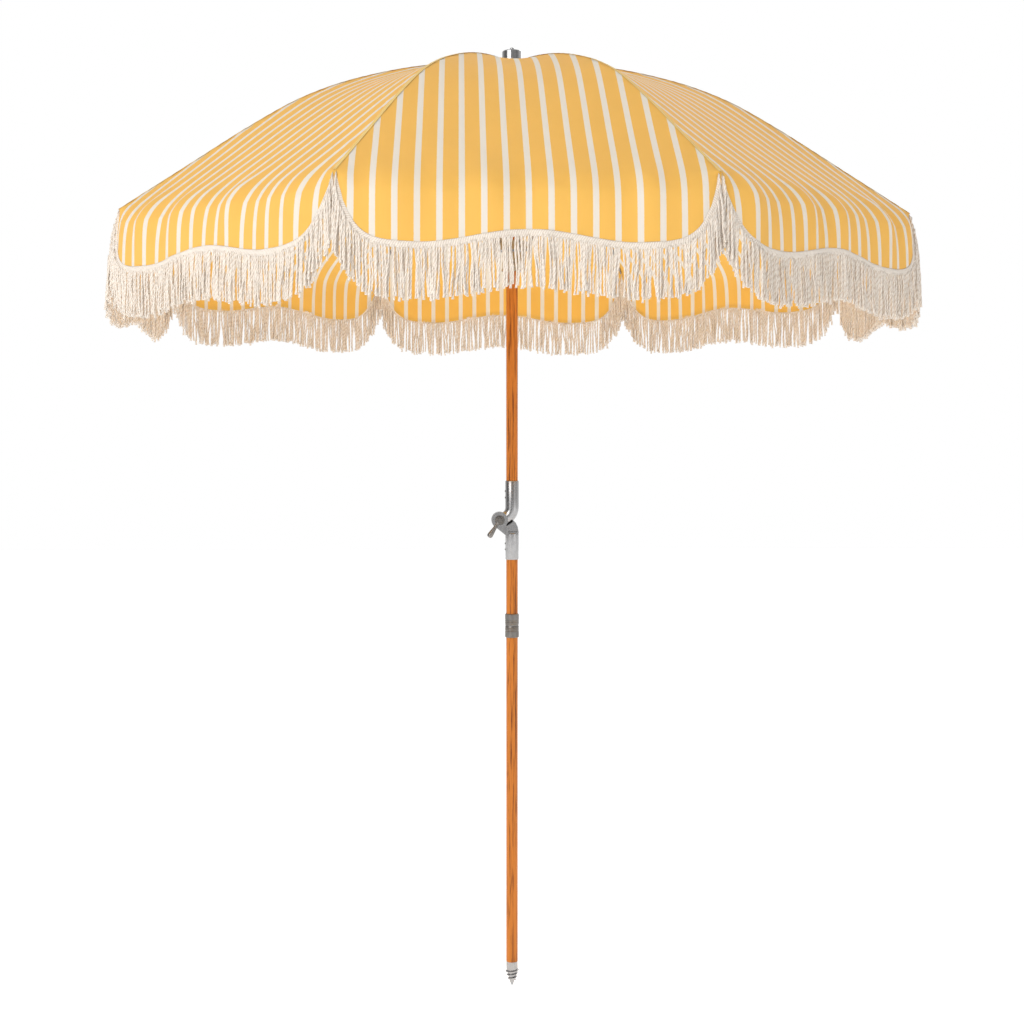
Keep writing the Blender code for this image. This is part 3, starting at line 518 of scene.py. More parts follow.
def smooth_curve(x, y, at):
    """A smooth curve through (x, y) points: cubic pieces with averaged slopes."""
    steps = np.diff(y) / np.diff(x)
    slopes = np.concatenate([[steps[0]], (steps[1:] + steps[:-1]) / 2, [steps[-1]]])
    n = np.clip(np.searchsorted(x, at) - 1, 0, len(x) - 2)
    span = x[n + 1] - x[n]
    t = (at - x[n]) / span
    low = (2 * t**3 - 3 * t**2 + 1) * y[n] + (t**3 - 2 * t**2 + t) * span * slopes[n]
    return low + (-2 * t**3 + 3 * t**2) * y[n + 1] + (t**3 - t**2) * span * slopes[n + 1]


PANEL_SAG = 0.0140
HEM_LOW_AT = 0.213
HEM_RISE = 0.0235
HEM_RUN = 0.038
HANG_OUT = 0.0360
HANG_RUN = 0.0250
CLOTH_COLUMNS = 72
TAUT_ROWS = 64
HANG_ROWS = 18
SEAM_GAP = 0.0006
EASED_ROWS = 6
EASE_PASSES = 14
EASE_STEP = 0.5


def hem_drop(t):
    """How far the braid's top edge hangs below the rib tips, at share t of a panel's width."""
    x = np.minimum(t, 1 - t)
    low = HEM_DROP * (1 - np.exp(-x / HEM_RUN))
    rise = np.clip((x - HEM_LOW_AT) / (0.5 - HEM_LOW_AT), 0, 1)
    return np.maximum(low - HEM_RISE * rise * rise * (3 - 2 * rise), 0.003)


def hang_out(t, drop):
    """How far outside the line between the rib tips the cloth hangs."""
    ends = 1 - np.exp(-np.minimum(t, 1 - t) / HEM_RUN)
    return HANG_OUT * ends * (1 - np.exp(-drop / HANG_RUN))


def column_shares():
    """Shares of a panel's width, closer together near the ribs."""
    even = np.linspace(0, 1, CLOTH_COLUMNS + 1)
    return (even - 0.6 * np.sin(2 * math.tau * even / 2) / math.tau)


def soft_folds(index, across, fall, depth):
    """Outward push of the soft folds above the hem of panel `index`."""
    rng = np.random.default_rng(40 + index)
    push = np.zeros_like(across)
    for pitch, share in ((0.150, 0.9), (0.094, 0.55), (0.061, 0.30)):
        phase = rng.uniform(0, math.tau)
        lean = rng.uniform(-5.0, 5.0)
        push += share * np.sin(math.tau * across / pitch + phase + lean * fall)
    band = np.exp(-(((fall - 0.030) / 0.055) ** 2)) + 0.45 * np.clip(fall / 0.12, 0, 1)
    return depth * push * band


def seam_puckers(index, across, along, width, depth):
    """Small ridges where the seams gather the cloth."""
    rng = np.random.default_rng(80 + index)
    push = np.zeros_like(across)
    for side in (-1, 1):
        away = width - side * across
        for pitch, share in ((0.038, 0.7), (0.023, 0.5), (0.061, 0.6)):
            phase = rng.uniform(0, math.tau)
            push += share * np.sin(math.tau * (along + 0.5 * away) / pitch + phase) * np.exp(-away / 0.020)
    return depth * push


def ease_over_edge(grid, shares):
    """Spreads the bend between the taut cloth and its hanging edge, and leaves the ribs' lines alone."""
    first, last = TAUT_ROWS - EASED_ROWS, TAUT_ROWS + EASED_ROWS
    weight = EASE_STEP * (1 - np.exp(-np.minimum(shares, 1 - shares) / HEM_RUN))[None, :, None]
    for _ in range(EASE_PASSES):
        middle = (grid[first - 1 : last - 1] + grid[first + 1 : last + 1]) / 2
        grid[first:last] += weight * (middle - grid[first:last])
    return grid


def cloth_grid(index):
    """Points, across and along measures of panel `index`, facing -Y, crown to hem."""
    cloth = bpy.context.scene.umbrella_cloth
    fringe = bpy.context.scene.umbrella_fringe
    x, y = rib_line()
    shares = column_shares()
    inner = x[0]
    radii = inner + (CANOPY_R - inner) * np.linspace(0, 1, TAUT_ROWS + 1)
    heights = smooth_curve(x, y, radii)
    run = (radii - inner) / (CANOPY_R - inner)
    sag = PANEL_SAG * np.sin(math.pi * run**0.8)
    half = radii * math.sin(HALF_PANEL)
    spread = 2 * shares - 1
    taut = np.zeros((TAUT_ROWS + 1, CLOTH_COLUMNS + 1, 3))
    taut[:, :, 0] = spread[None, :] * (half - SEAM_GAP / 2)[:, None]
    taut[:, :, 1] = -radii[:, None] * math.cos(HALF_PANEL)
    taut[:, :, 2] = heights[:, None] - sag[:, None] * (4 * shares * (1 - shares))[None, :]
    under = 0.7 * fringe.braid_width
    falls = (hem_drop(shares) + under)[None, :] * (np.linspace(0, 1, HANG_ROWS + 1)[1:, None] ** 1.15)
    hang = np.zeros((HANG_ROWS, CLOTH_COLUMNS + 1, 3))
    hang[:, :, 0] = spread[None, :] * (half[-1] - SEAM_GAP / 2)
    hang[:, :, 1] = taut[-1, :, 1][None, :] - hang_out(shares[None, :], falls)
    hang[:, :, 2] = TIP_Z - falls
    grid = ease_over_edge(np.concatenate([taut, hang]), shares)
    along = np.zeros(grid.shape[:2])
    along[1:] = np.cumsum(np.linalg.norm(np.diff(grid, axis=0), axis=2), axis=0)
    across = grid[:, :, 0].copy()
    fall = np.maximum(TIP_Z - grid[:, :, 2], -0.2)
    ease = 1 - np.exp(-np.minimum(shares, 1 - shares) / 0.05)
    width = np.concatenate([half, np.full(HANG_ROWS, half[-1])])[:, None]
    push = soft_folds(index, across, fall, cloth.fold_depth) * ease[None, :]
    push *= np.clip((fall + 0.13) / 0.13, 0, 1) ** 2
    settle = np.clip((along / 0.05), 0, 1)
    push += seam_puckers(index, across, along, width, cloth.pucker_depth) * settle * ease[None, :] ** 0.25
    grid += push[:, :, None] * grid_normals(grid)
    return grid, across, along


def grid_normals(grid):
    """Outward normals of a grid whose rows go down and columns go along +X."""
    down = np.gradient(grid, axis=0)
    right = np.gradient(grid, axis=1)
    normals = np.cross(down, right)
    return normals / np.linalg.norm(normals, axis=2)[:, :, None]


def two_sided(name, grid, normals, across, along, thickness):
    """A closed sheet made from a grid, with its thread map and given normals."""
    rows, columns = grid.shape[:2]
    outer = (grid + normals * thickness / 2).reshape(-1, 3)
    inner = (grid - normals * thickness / 2).reshape(-1, 3)
    index = np.arange(rows * columns).reshape(rows, columns)
    quads = np.stack([index[:-1, :-1], index[1:, :-1], index[1:, 1:], index[:-1, 1:]], axis=-1).reshape(-1, 4)
    under = rows * columns
    faces = [quads, quads[:, ::-1] + under]
    loops = [index[0], index[:, -1], index[-1, ::-1], index[::-1, 0]]
    for loop in loops:
        a, b = loop[:-1], loop[1:]
        faces.append(np.stack([a, b, b + under, a + under], axis=-1))
    faces = np.concatenate(faces)
    mesh = bpy.data.meshes.new(name)
    mesh.from_pydata(np.concatenate([outer, inner]).tolist(), [], faces.tolist())
    obj = bpy.data.objects.new(name, mesh)
    bpy.context.scene.collection.objects.link(obj)
    thread = np.stack([across.ravel(), along.ravel()], axis=-1)
    thread = np.concatenate([thread, thread])
    layer = mesh.uv_layers.new(name=CLOTH_UV)
    corners = np.empty(len(mesh.loops), np.int32)
    mesh.loops.foreach_get("vertex_index", corners)
    layer.data.foreach_set("uv", thread[corners].astype(np.float32).ravel())
    mesh.shade_smooth()
    flat = normals.reshape(-1, 3)
    mesh.normals_split_custom_set_from_vertices(np.concatenate([flat, -flat]).tolist())
    return obj


def turned_into_place(obj, index):
    """Turns the mesh, made facing -Y, to panel `index` and leaves the object at the origin."""
    obj.data.transform(panel_turn(index))
    return obj


def crumple(obj):
    """Gives a soft piece its own copy of its mesh."""
    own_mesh(obj)


def sheet_area(grid):
    a = np.cross(grid[1:, :-1] - grid[:-1, :-1], grid[:-1, 1:] - grid[:-1, :-1])
    b = np.cross(grid[1:, :-1] - grid[1:, 1:], grid[:-1, 1:] - grid[1:, 1:])
    return float((np.linalg.norm(a, axis=2) + np.linalg.norm(b, axis=2)).sum() / 2)


class UMBRELLA_OT_canopy(bpy.types.Operator):
    """Build the canopy's eight cloth panels and the part of each that hangs below the rib tips"""

    bl_idname = "umbrella.canopy"
    bl_label = "Canopy panels"

    def execute(self, context):
        cloth = context.scene.umbrella_cloth
        paint = striped_cloth()
        for n in range(PANELS):
            grid, across, along = cloth_grid(n)
            normals = grid_normals(grid)
            split = TAUT_ROWS
            pieces = (
                (f"panel_cloth_{n + 1}", slice(0, split + 1)),
                (f"valance_cloth_{n + 1}", slice(split, None)),
            )
            made = []
            for name, rows in pieces:
                obj = two_sided(name, grid[rows], normals[rows], across[rows], along[rows], cloth.thickness)
                obj.data.materials.append(paint)
                made.append((turned_into_place(obj, n), sheet_area(grid[rows]), grid[rows]))
            panel, valance = made
            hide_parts(f"canopy_panel_{n + 1}")
            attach(panel[0], f"canopy_panel_{n + 1}_part")
            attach(valance[0], f"fringe_{n + 1}_part")
            drop = float((along[-1] - along[TAUT_ROWS]).max())
            for obj, _, _ in made:
                crumple(obj)
        return {"FINISHED"}


class UMBRELLA_OT_seams(bpy.types.Operator):
    """Build the stitched seam over each rib"""

    bl_idname = "umbrella.seams"
    bl_label = "Seams"

    def execute(self, context):
        paint = seam_tape()
        x, y = rib_line()
        radii = np.linspace(x[0] + 0.001, CANOPY_R + 0.0015, 90)
        heights = smooth_curve(x, y, np.minimum(radii, CANOPY_R)) - np.maximum(radii - CANOPY_R, 0) * 0.9
        offsets = np.linspace(-SEAM_WIDTH / 2, SEAM_WIDTH / 2, 7)
        crown = 1 - (2 * offsets / SEAM_WIDTH) ** 2
        for n in range(PANELS):
            grid = np.zeros((len(radii), len(offsets), 3))
            grid[:, :, 0] = offsets[None, :]
            grid[:, :, 1] = -radii[:, None]
            grid[:, :, 2] = heights[:, None] + 0.0004 + 0.0007 * crown[None, :]
            grid[:, :, 2] += 0.0003 * np.sin(radii * 260 + n)[:, None]
            along = np.broadcast_to(radii[:, None], grid.shape[:2])
            across = np.broadcast_to(offsets[None, :], grid.shape[:2])
            obj = two_sided(f"seam_tape_{n + 1}", grid, grid_normals(grid), across, along, 0.0005)
            obj.data.transform(Matrix.Rotation(2 * HALF_PANEL * (n + 0.5), 4, "Z"))
            obj.data.materials.append(paint)
            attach(obj, f"rib_{n + 1}_part")
        return {"FINISHED"}


SEAM_WIDTH = 0.0072


# Fringe


def hem_curve(index):
    """Points along the braid's top edge, evenly spaced, with their shares of the panel's width."""
    shares = np.linspace(0.0, 1.0, 801)
    drop = hem_drop(shares)
    half = CANOPY_R * math.sin(HALF_PANEL)
    x = (2 * shares - 1) * (half - FRINGE_END)
    y = -CANOPY_R * math.cos(HALF_PANEL) - hang_out(shares, drop)
    cloth = bpy.context.scene.umbrella_cloth
    ease = 1 - np.exp(-np.minimum(shares, 1 - shares) / 0.05)
    y -= soft_folds(index, x, drop, cloth.fold_depth) * ease
    z = TIP_Z - drop
    return np.stack([x, y, z], axis=-1)


FRINGE_END = 0.0028


def walk(points, distances):
    """Positions and directions at distances along a line of points."""
    steps = np.linalg.norm(np.diff(points, axis=0), axis=1)
    length = np.concatenate([[0], np.cumsum(steps)])
    places = np.stack([np.interp(distances, length, points[:, k]) for k in range(3)], axis=-1)
    ahead = np.stack([np.interp(distances + 0.002, length, points[:, k]) for k in range(3)], axis=-1)
    behind = np.stack([np.interp(distances - 0.002, length, points[:, k]) for k in range(3)], axis=-1)
    run = ahead - behind
    return places, run / np.linalg.norm(run, axis=1)[:, None], length[-1]


def below_hem(places, runs, depth):
    """Points `depth` below the braid's top edge, measured across the braid."""
    out = np.array([0.0, -1.0, 0.0])
    across = np.cross(runs, out)
    across /= np.linalg.norm(across, axis=1)[:, None]
    moved = places + across * depth
    limit = CANOPY_R * math.sin(HALF_PANEL) - FRINGE_END
    moved[:, 0] = np.clip(moved[:, 0], -limit, limit)
    return moved


def build_braid(index, paint):
    """The hem braid: a flat band with a rounded, ribbed face."""
    fringe = bpy.context.scene.umbrella_fringe
    points = hem_curve(index)
    _, _, total = walk(points, np.array([0.0]))
    distances = np.arange(0.0, total, BRAID_STEP)
    places, runs, _ = walk(points, distances)
    sides = 10
    rows = []
    ripple = 0.5 + 0.5 * np.cos(math.tau * distances / BRAID_RIB)
    for side in range(sides):
        angle = math.tau * side / sides
        depth = fringe.braid_width * (0.5 - 0.5 * math.cos(angle))
        proud = math.sin(angle)
        row = below_hem(places, runs, depth)
        row[:, 1] -= 0.0012 + fringe.braid_thickness / 2 * proud * (0.75 + 0.25 * ripple)
        rows.append(row)
    grid = np.stack(rows, axis=1)
    count = len(distances)
    vertices = grid.reshape(-1, 3)
    faces = []
    for n in range(count - 1):
        for side in range(sides):
            nxt = (side + 1) % sides
            faces.append([n * sides + side, (n + 1) * sides + side, (n + 1) * sides + nxt, n * sides + nxt])
    faces.append(list(range(sides)))
    faces.append([(count - 1) * sides + side for side in range(sides)][::-1])
    mesh = bpy.data.meshes.new(f"hem_braid_{index + 1}")
    mesh.from_pydata(vertices.tolist(), [], faces)
    obj = bpy.data.objects.new(mesh.name, mesh)
    bpy.context.scene.collection.objects.link(obj)
    layer = mesh.uv_layers.new(name=CLOTH_UV)
    for polygon in mesh.polygons:
        for corner in polygon.loop_indices:
            vertex = mesh.loops[corner].vertex_index
            layer.data[corner].uv = (
                (vertex % sides) / sides * 2.0,
                distances[vertex // sides] * 2.4,
            )
    mesh.shade_smooth()
    mesh.materials.append(paint)
    return turned_into_place(obj, index)


BRAID_STEP = 0.0014
BRAID_RIB = 0.0042


def cord_pattern(name, bend, sides, rows, paint):
    """A two-ply cord one unit long and one unit thick, hanging from the origin with a slight bend."""
    vertices = []
    thread = []
    for row in range(rows + 1):
        share = row / rows
        sway = bend[0] * math.sin(math.pi * share) + bend[1] * math.sin(math.tau * share)
        drift = bend[2] * share * share
        flare = 1.0 + 0.35 * max(0.0, share - 0.93) / 0.07
        tuck = 0.55 if row == 0 else 1.0
        for side in range(sides):
            angle = math.tau * side / sides
            lobe = 1.0 + 0.16 * math.cos(2 * angle + math.tau * share * CORD_TURNS)
            radius = 0.5 * lobe * flare * tuck
            vertices.append((radius * math.cos(angle) + sway, radius * math.sin(angle) + drift, -share))
            thread.append((side / sides, share))
    faces = []
    for row in range(rows):
        for side in range(sides):
            nxt = (side + 1) % sides
            a = row * sides
            faces.append([a + side, a + sides + side, a + sides + nxt, a + nxt])
    faces.append(list(range(sides)))
    faces.append([rows * sides + side for side in range(sides)][::-1])
    mesh = bpy.data.meshes.new(name)
    mesh.from_pydata(vertices, [], faces)
    layer = mesh.uv_layers.new(name=CLOTH_UV)
    for polygon in mesh.polygons:
        indices = list(polygon.loop_indices)
        around = [thread[mesh.loops[c].vertex_index] for c in indices]
        wraps = max(a[0] for a in around) - min(a[0] for a in around) > 0.5 and len(indices) == 4
        for corner, (u, v) in zip(indices, around):
            layer.data[corner].uv = (u + 1.0 if wraps and u < 0.5 else u, v * CORD_MAP_LENGTH)
    mesh.shade_smooth()
    mesh.materials.append(paint)
    return bpy.data.objects.new(name, mesh)


CORD_TURNS = 4.0
CORD_MAP_LENGTH = 0.09


def cord_points(index):
    """Where the cords leave the braid of panel `index`, with each cord's lean, length and turn."""
    fringe = bpy.context.scene.umbrella_fringe
    rng = np.random.default_rng(fringe.seed * 100 + index)
    points = hem_curve(index)
    _, _, total = walk(points, np.array([0.0]))
    count = int(total / fringe.spacing)
    distances = np.linspace(0.002, total - 0.002, count)
    distances += rng.normal(0, 0.0011, count)
    places, runs, _ = walk(points, np.clip(distances, 0, total))
    depth = fringe.braid_width * 0.62
    roots = below_hem(places, runs, depth)
    steep = np.abs(runs[:, 2])
    roots[:, 1] -= 0.0010 + rng.uniform(-0.0010, 0.0010, count) + steep * rng.uniform(0.0, 0.0055, count)
    hung = places[:, 2] - roots[:, 2]
    lengths = fringe.length - hung + rng.normal(0, 0.0030, count)
    phase = rng.uniform(0, math.tau, 4)
    clump = sum(
        share * np.sin(math.tau * distances / pitch + p)
        for share, pitch, p in zip((0.5, 0.45, 0.35, 0.3), (0.041, 0.027, 0.017, 0.074), phase)
    )
    lean = 0.045 * clump + rng.normal(0, 0.022, count)
    edge = np.clip((np.abs(roots[:, 0]) / (CANOPY_R * math.sin(HALF_PANEL)) - 0.93) / 0.07, 0, 1)
    lean -= np.sign(roots[:, 0]) * 0.05 * edge
    sway = rng.normal(0.0, 0.030, count) - 0.02 * steep
    return roots, lengths, lean, sway, rng.uniform(0, math.tau, count)


def cord_tree():
    """A node tree that hangs one cord on every point."""
    tree = bpy.data.node_groups.new("hang_cords", "GeometryNodeTree")
    face = tree.interface
    face.new_socket("Geometry", in_out="INPUT", socket_type="NodeSocketGeometry")
    face.new_socket("Cord patterns", in_out="INPUT", socket_type="NodeSocketCollection")
    face.new_socket("Cord diameter", in_out="INPUT", socket_type="NodeSocketFloat")
    face.new_socket("Diameter spread", in_out="INPUT", socket_type="NodeSocketFloat")
    face.new_socket("Seed", in_out="INPUT", socket_type="NodeSocketInt")
    face.new_socket("Cotton", in_out="INPUT", socket_type="NodeSocketMaterial")
    face.new_socket("Geometry", in_out="OUTPUT", socket_type="NodeSocketGeometry")
    nodes, links = tree.nodes, tree.links
    entry = nodes.new("NodeGroupInput")
    points = nodes.new("GeometryNodeMeshToPoints")
    links.new(entry.outputs["Geometry"], points.inputs["Mesh"])
    cords = nodes.new("GeometryNodeCollectionInfo")
    cords.inputs["Separate Children"].default_value = True
    cords.inputs["Reset Children"].default_value = True
    links.new(entry.outputs["Cord patterns"], cords.inputs["Collection"])

    def stored(name):
        made = nodes.new("GeometryNodeInputNamedAttribute")
        made.data_type = "FLOAT"
        made.inputs["Name"].default_value = name
        return made.outputs["Attribute"]

    spread = nodes.new("FunctionNodeRandomValue")
    spread.data_type = "FLOAT"
    links.new(entry.outputs["Seed"], spread.inputs["Seed"])
    low = nodes.new("ShaderNodeMath")
    low.operation = "SUBTRACT"
    low.inputs[0].default_value = 1.0
    links.new(entry.outputs["Diameter spread"], low.inputs[1])
    high = nodes.new("ShaderNodeMath")
    high.inputs[0].default_value = 1.0
    links.new(entry.outputs["Diameter spread"], high.inputs[1])
    links.new(low.outputs[0], spread.inputs[2])
    links.new(high.outputs[0], spread.inputs[3])
    thick = nodes.new("ShaderNodeMath")
    thick.operation = "MULTIPLY"
    links.new(entry.outputs["Cord diameter"], thick.inputs[0])
    links.new(spread.outputs[1], thick.inputs[1])
    size = nodes.new("ShaderNodeCombineXYZ")
    links.new(thick.outputs[0], size.inputs["X"])
    links.new(thick.outputs[0], size.inputs["Y"])
    links.new(stored("cord_length"), size.inputs["Z"])
    turn = nodes.new("ShaderNodeCombineXYZ")
    links.new(stored("cord_sway"), turn.inputs["X"])
    links.new(stored("cord_lean"), turn.inputs["Y"])
    spin = nodes.new("ShaderNodeCombineXYZ")
    links.new(stored("cord_turn"), spin.inputs["Z"])
    hang = nodes.new("GeometryNodeInstanceOnPoints")
    hang.inputs["Pick Instance"].default_value = True
    links.new(points.outputs["Points"], hang.inputs["Points"])
    links.new(cords.outputs["Instances"], hang.inputs["Instance"])
    links.new(turn.outputs[0], hang.inputs["Rotation"])
    links.new(size.outputs[0], hang.inputs["Scale"])
    turned = nodes.new("GeometryNodeRotateInstances")
    turned.inputs["Local Space"].default_value = True
    links.new(hang.outputs["Instances"], turned.inputs["Instances"])
    links.new(spin.outputs[0], turned.inputs["Rotation"])
    real = nodes.new("GeometryNodeRealizeInstances")
    links.new(turned.outputs["Instances"], real.inputs["Geometry"])
    paint = nodes.new("GeometryNodeSetMaterial")
    links.new(real.outputs["Geometry"], paint.inputs["Geometry"])
    links.new(entry.outputs["Cotton"], paint.inputs["Material"])
    leave = nodes.new("NodeGroupOutput")
    links.new(paint.outputs["Geometry"], leave.inputs["Geometry"])
    return tree


def set_inputs(modifier, values):
    """Sets a node tree's inputs by the sockets' identifiers."""
    for item in modifier.node_group.interface.items_tree:
        if item.item_type == "SOCKET" and item.in_out == "INPUT" and item.name in values:
            modifier[item.identifier] = values[item.name]


def plain_mesh(obj, name):
    """The object's evaluated shape as a plain mesh object of that name; the first one is removed."""
    bpy.context.view_layer.update()
    evaluated = obj.evaluated_get(bpy.context.evaluated_depsgraph_get())
    mesh = bpy.data.meshes.new_from_object(evaluated)
    mesh.name = name
    bpy.data.objects.remove(obj, do_unlink=True)
    made = bpy.data.objects.new(name, mesh)
    bpy.context.scene.collection.objects.link(made)
    return made


CORD_BENDS = (
    (0.0, 0.0, 0.0),
    (0.55, 0.25, 0.4),
    (-0.45, 0.35, -0.3),
    (0.30, -0.50, 0.6),
    (-0.65, -0.20, 0.2),
    (0.20, 0.55, -0.5),
    (0.75, -0.10, 0.1),
    (-0.25, -0.55, -0.2),
)
CORD_SIDES = 6
CORD_ROWS = 15


class UMBRELLA_OT_fringe(bpy.types.Operator):
    """Build the hem braid and the hanging cotton cords of every panel"""

    bl_idname = "umbrella.fringe"
    bl_label = "Fringe"

    def execute(self, context):
        fringe = context.scene.umbrella_fringe
        paint = twisted_cotton()
        patterns = bpy.data.collections.new("cord_patterns")
        for n, bend in enumerate(CORD_BENDS):
            patterns.objects.link(cord_pattern(f"cord_pattern_{n}", bend, CORD_SIDES, CORD_ROWS, paint))
        tree = cord_tree()
        for n in range(PANELS):
            roots, lengths, lean, sway, turn = cord_points(n)
            mesh = bpy.data.meshes.new(f"cord_roots_{n + 1}")
            mesh.from_pydata(roots.tolist(), [], [])
            stored = (
                ("cord_length", lengths),
                ("cord_lean", lean),
                ("cord_sway", sway),
                ("cord_turn", turn),
            )
            for name, values in stored:
                layer = mesh.attributes.new(name, "FLOAT", "POINT")
                layer.data.foreach_set("value", values.astype(np.float32))
            holder = bpy.data.objects.new(mesh.name, mesh)
            context.scene.collection.objects.link(holder)
            modifier = holder.modifiers.new("cords", "NODES")
            modifier.node_group = tree
            set_inputs(
                modifier,
                {
                    "Cord patterns": patterns,
                    "Cord diameter": fringe.cord_diameter,
                    "Diameter spread": 0.14,
                    "Seed": fringe.seed + n,
                    "Cotton": paint,
                },
            )
            cords = turned_into_place(plain_mesh(holder, f"fringe_cords_{n + 1}"), n)
            braid = build_braid(n, paint)
            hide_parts(f"fringe_{n + 1}")
            for obj in (cords, braid):
                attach(obj, f"fringe_{n + 1}_part")
                crumple(obj)
        for pattern in list(patterns.objects):
            bpy.data.objects.remove(pattern, do_unlink=True)
        bpy.data.collections.remove(patterns)
        return {"FINISHED"}


# Pole, fittings and frame


def rounding_tree():
    """A node tree that joins a faceted solid's points and shades its round faces smooth."""
    tree = bpy.data.node_groups.new("round_shading", "GeometryNodeTree")
    face = tree.interface
    face.new_socket("Geometry", in_out="INPUT", socket_type="NodeSocketGeometry")
    face.new_socket("Sharp angle", in_out="INPUT", socket_type="NodeSocketFloat")
    face.new_socket("Geometry", in_out="OUTPUT", socket_type="NodeSocketGeometry")
    nodes, links = tree.nodes, tree.links
    entry = nodes.new("NodeGroupInput")
    weld = nodes.new("GeometryNodeMergeByDistance")
    weld.inputs["Distance"].default_value = 1e-6
    links.new(entry.outputs["Geometry"], weld.inputs["Geometry"])
    smooth = nodes.new("GeometryNodeSetShadeSmooth")
    smooth.domain = "FACE"
    links.new(weld.outputs["Geometry"], smooth.inputs["Geometry"])
    angle = nodes.new("GeometryNodeInputMeshEdgeAngle")
    sharp = nodes.new("FunctionNodeCompare")
    sharp.operation = "GREATER_THAN"
    links.new(angle.outputs["Unsigned Angle"], sharp.inputs["A"])
    links.new(entry.outputs["Sharp angle"], sharp.inputs["B"])
    crease = nodes.new("GeometryNodeSetShadeSmooth")
    crease.domain = "EDGE"
    crease.inputs["Shade Smooth"].default_value = False
    links.new(smooth.outputs["Geometry"], crease.inputs["Geometry"])
    links.new(sharp.outputs["Result"], crease.inputs["Selection"])
    leave = nodes.new("NodeGroupOutput")
    links.new(crease.outputs["Geometry"], leave.inputs["Geometry"])
    return tree


def finish_nodes(names, paint):
    """Gives CAD nodes their material and smooth shading."""
    tree = bpy.data.node_groups.get("round_shading") or rounding_tree()
    for name in names:
        obj = frame["nodes"][name]
        for n in range(max(len(obj.material_slots), 1)):
            if n < len(obj.material_slots):
                obj.material_slots[n].material = paint
        modifier = obj.modifiers.new("round_shading", "NODES")
        modifier.node_group = tree
        set_inputs(modifier, {"Sharp angle": math.radians(28)})


class UMBRELLA_OT_pole(bpy.types.Operator):
    """Finish the three wooden lengths of the pole"""

    bl_idname = "umbrella.pole"
    bl_label = "Wooden pole"

    def execute(self, context):
        finish_nodes(("lower_pole", "middle_pole", "upper_pole"), oiled_wood())
        return {"FINISHED"}


class UMBRELLA_OT_fittings(bpy.types.Operator):
    """Finish the metal fittings and the folding frame"""

    bl_idname = "umbrella.fittings"
    bl_label = "Metal fittings"

    def execute(self, context):
        bright = (
            "ground_screw",
            "lower_knuckle",
            "upper_knuckle",
            "crown_hub",
            "runner",
            "finial_cap",
            "finial_knob",
            "join_stud",
        )
        dull_words = ("ferrule", "rivet", "bolt", "nut", "lever", "washer", "wire", "button")
        dull = [name for name in frame["nodes"] if any(word in name for word in dull_words)]
        ribs = [name for name in frame["nodes"] if name.startswith(("rib_", "stretcher_"))]
        finish_nodes(bright, bright_metal())
        finish_nodes(dull, dull_metal())
        finish_nodes(ribs, zinc_plate())
        return {"FINISHED"}


# Studio


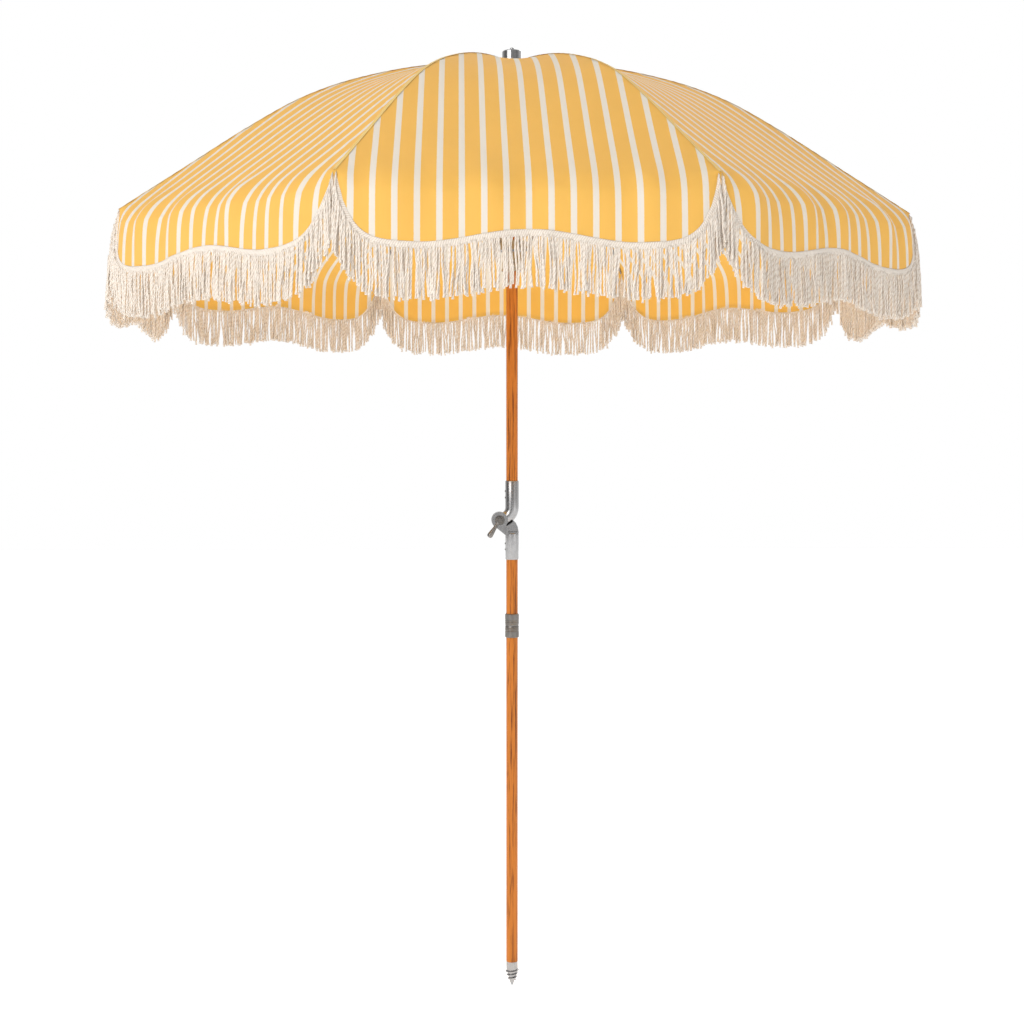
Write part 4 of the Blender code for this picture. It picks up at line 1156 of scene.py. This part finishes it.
class UMBRELLA_OT_studio(bpy.types.Operator):
    """Set up the floor, the soft lights and the camera"""

    bl_idname = "umbrella.studio"
    bl_label = "Studio"

    def execute(self, context):
        studio = context.scene.umbrella_studio
        self.add_floor()
        self.add_light("key", (-2.6, -3.4, 3.6), (0, 0, 1.5), 3.0, 105.0)
        self.add_light("fill", (3.2, -2.6, 1.6), (0, 0, 1.4), 2.6, 14.0)
        self.add_light("rim", (1.6, 3.2, 3.4), (0, 0, 1.7), 2.4, 40.0)
        context.scene.world = self.studio_world()
        context.scene.view_settings.view_transform = "Standard"
        data = bpy.data.cameras.new("camera")
        data.lens = studio.lens
        data.shift_y = studio.drop
        data.clip_end = 60.0
        camera = bpy.data.objects.new("camera", data)
        turn = Matrix.Rotation(-studio.side, 4, "Z")
        camera.location = turn @ Vector((0.0, -studio.distance, studio.height))
        camera.rotation_euler = (math.radians(90), 0.0, -studio.side)
        context.scene.collection.objects.link(camera)
        context.scene.camera = camera
        return {"FINISHED"}

    def studio_world(self):
        """White to the camera; to the object, a soft grey room with two tall bright windows."""
        world = bpy.data.worlds.new("studio_white")
        world.use_nodes = True
        nodes, links = world.node_tree.nodes, world.node_tree.links
        nodes.clear()
        place = nodes.new("ShaderNodeTexCoord")
        flat = nodes.new("ShaderNodeSeparateXYZ")
        links.new(place.outputs["Generated"], flat.inputs["Vector"])
        turn = nodes.new("ShaderNodeMath")
        turn.operation = "ARCTAN2"
        links.new(flat.outputs["X"], turn.inputs[0])
        links.new(flat.outputs["Y"], turn.inputs[1])
        ramp = nodes.new("ShaderNodeValToRGB")
        span = nodes.new("ShaderNodeMapRange")
        span.inputs["From Min"].default_value = -math.pi
        span.inputs["From Max"].default_value = math.pi
        links.new(turn.outputs[0], span.inputs["Value"])
        links.new(span.outputs["Result"], ramp.inputs["Fac"])
        stops = ramp.color_ramp.elements
        while len(stops) > 1:
            stops.remove(stops[-1])
        for n, (at, value) in enumerate(ROOM_LIGHT):
            stop = stops[0] if n == 0 else stops.new(at)
            stop.position = at
            stop.color = (value, value, value, 1.0)
        room = nodes.new("ShaderNodeBackground")
        links.new(ramp.outputs["Color"], room.inputs["Color"])
        white = nodes.new("ShaderNodeBackground")
        white.inputs["Color"].default_value = (1.0, 1.0, 1.0, 1.0)
        path = nodes.new("ShaderNodeLightPath")
        mix = nodes.new("ShaderNodeMixShader")
        links.new(path.outputs["Is Camera Ray"], mix.inputs[0])
        links.new(room.outputs[0], mix.inputs[1])
        links.new(white.outputs[0], mix.inputs[2])
        leave = nodes.new("ShaderNodeOutputWorld")
        links.new(mix.outputs[0], leave.inputs["Surface"])
        return world

    def add_floor(self):
        size = 14.0
        corners = [(-size, -size), (size, -size), (size, size), (-size, size)]
        mesh = bpy.data.meshes.new("floor")
        mesh.from_pydata([(x, y, FLOOR_Z) for x, y in corners], [], [[0, 1, 2, 3]])
        floor = bpy.data.objects.new("floor", mesh)
        bpy.context.scene.collection.objects.link(floor)
        shade = Shade("floor_white")
        shader = shade.principled(
            base_color=(0.92, 0.92, 0.92),
            roughness=0.9,
            emission_color=(1.0, 1.0, 1.0),
            emission_strength=0.60,
        )
        mesh.materials.append(shade.finish(shader))

    def add_light(self, name, place, target, size, power):
        data = bpy.data.lights.new(name, "AREA")
        data.size = size
        data.energy = power
        light = bpy.data.objects.new(name, data)
        light.location = place
        aim = Vector(target) - Vector(place)
        light.rotation_euler = aim.to_track_quat("-Z", "Y").to_euler()
        bpy.context.scene.collection.objects.link(light)


FLOOR_Z = -0.001
# Share of a turn about Z, and the brightness of the room in that direction
ROOM_LIGHT = (
    (0.00, 0.34),
    (0.05, 0.34),
    (0.08, 1.30),
    (0.12, 1.30),
    (0.15, 0.12),
    (0.26, 0.22),
    (0.36, 0.70),
    (0.64, 0.70),
    (0.74, 0.95),
    (0.80, 0.25),
    (0.86, 0.18),
    (0.92, 0.42),
    (1.00, 0.42),
)


class UMBRELLA_PT_panel(bpy.types.Panel):
    """Buttons that build the umbrella, and its settings"""

    bl_label = "Beach Umbrella"
    bl_idname = "UMBRELLA_PT_panel"
    bl_space_type = "VIEW_3D"
    bl_region_type = "UI"
    bl_category = "Umbrella"

    def draw(self, context):
        layout = self.layout
        for operator in OPERATORS:
            layout.operator(operator.bl_idname)
        for name, group in SETTINGS:
            box = layout.box()
            box.label(text=name.replace("umbrella_", "").capitalize())
            for key in group.__annotations__:
                box.prop(getattr(context.scene, name), key)


SETTINGS = (
    ("umbrella_cloth", UMBRELLA_PG_cloth),
    ("umbrella_fringe", UMBRELLA_PG_fringe),
    ("umbrella_hardware", UMBRELLA_PG_hardware),
    ("umbrella_studio", UMBRELLA_PG_studio),
)
OPERATORS = (
    UMBRELLA_OT_studio,
    UMBRELLA_OT_pole,
    UMBRELLA_OT_fittings,
    UMBRELLA_OT_seams,
    UMBRELLA_OT_fringe,
    UMBRELLA_OT_canopy,
)


def register():
    for name, group in SETTINGS:
        bpy.utils.register_class(group)
        setattr(bpy.types.Scene, name, PointerProperty(type=group))
    for operator in OPERATORS:
        bpy.utils.register_class(operator)
    bpy.utils.register_class(UMBRELLA_PT_panel)


def unregister():
    bpy.utils.unregister_class(UMBRELLA_PT_panel)
    for operator in reversed(OPERATORS):
        bpy.utils.unregister_class(operator)
    for name, group in reversed(SETTINGS):
        delattr(bpy.types.Scene, name)
        bpy.utils.unregister_class(group)


def main():
    register()
    for operator in OPERATORS:
        family, action = operator.bl_idname.split(".")
        getattr(getattr(bpy.ops, family), action)()
    bpy.context.view_layer.update()


if __name__ == "__main__":
    main()
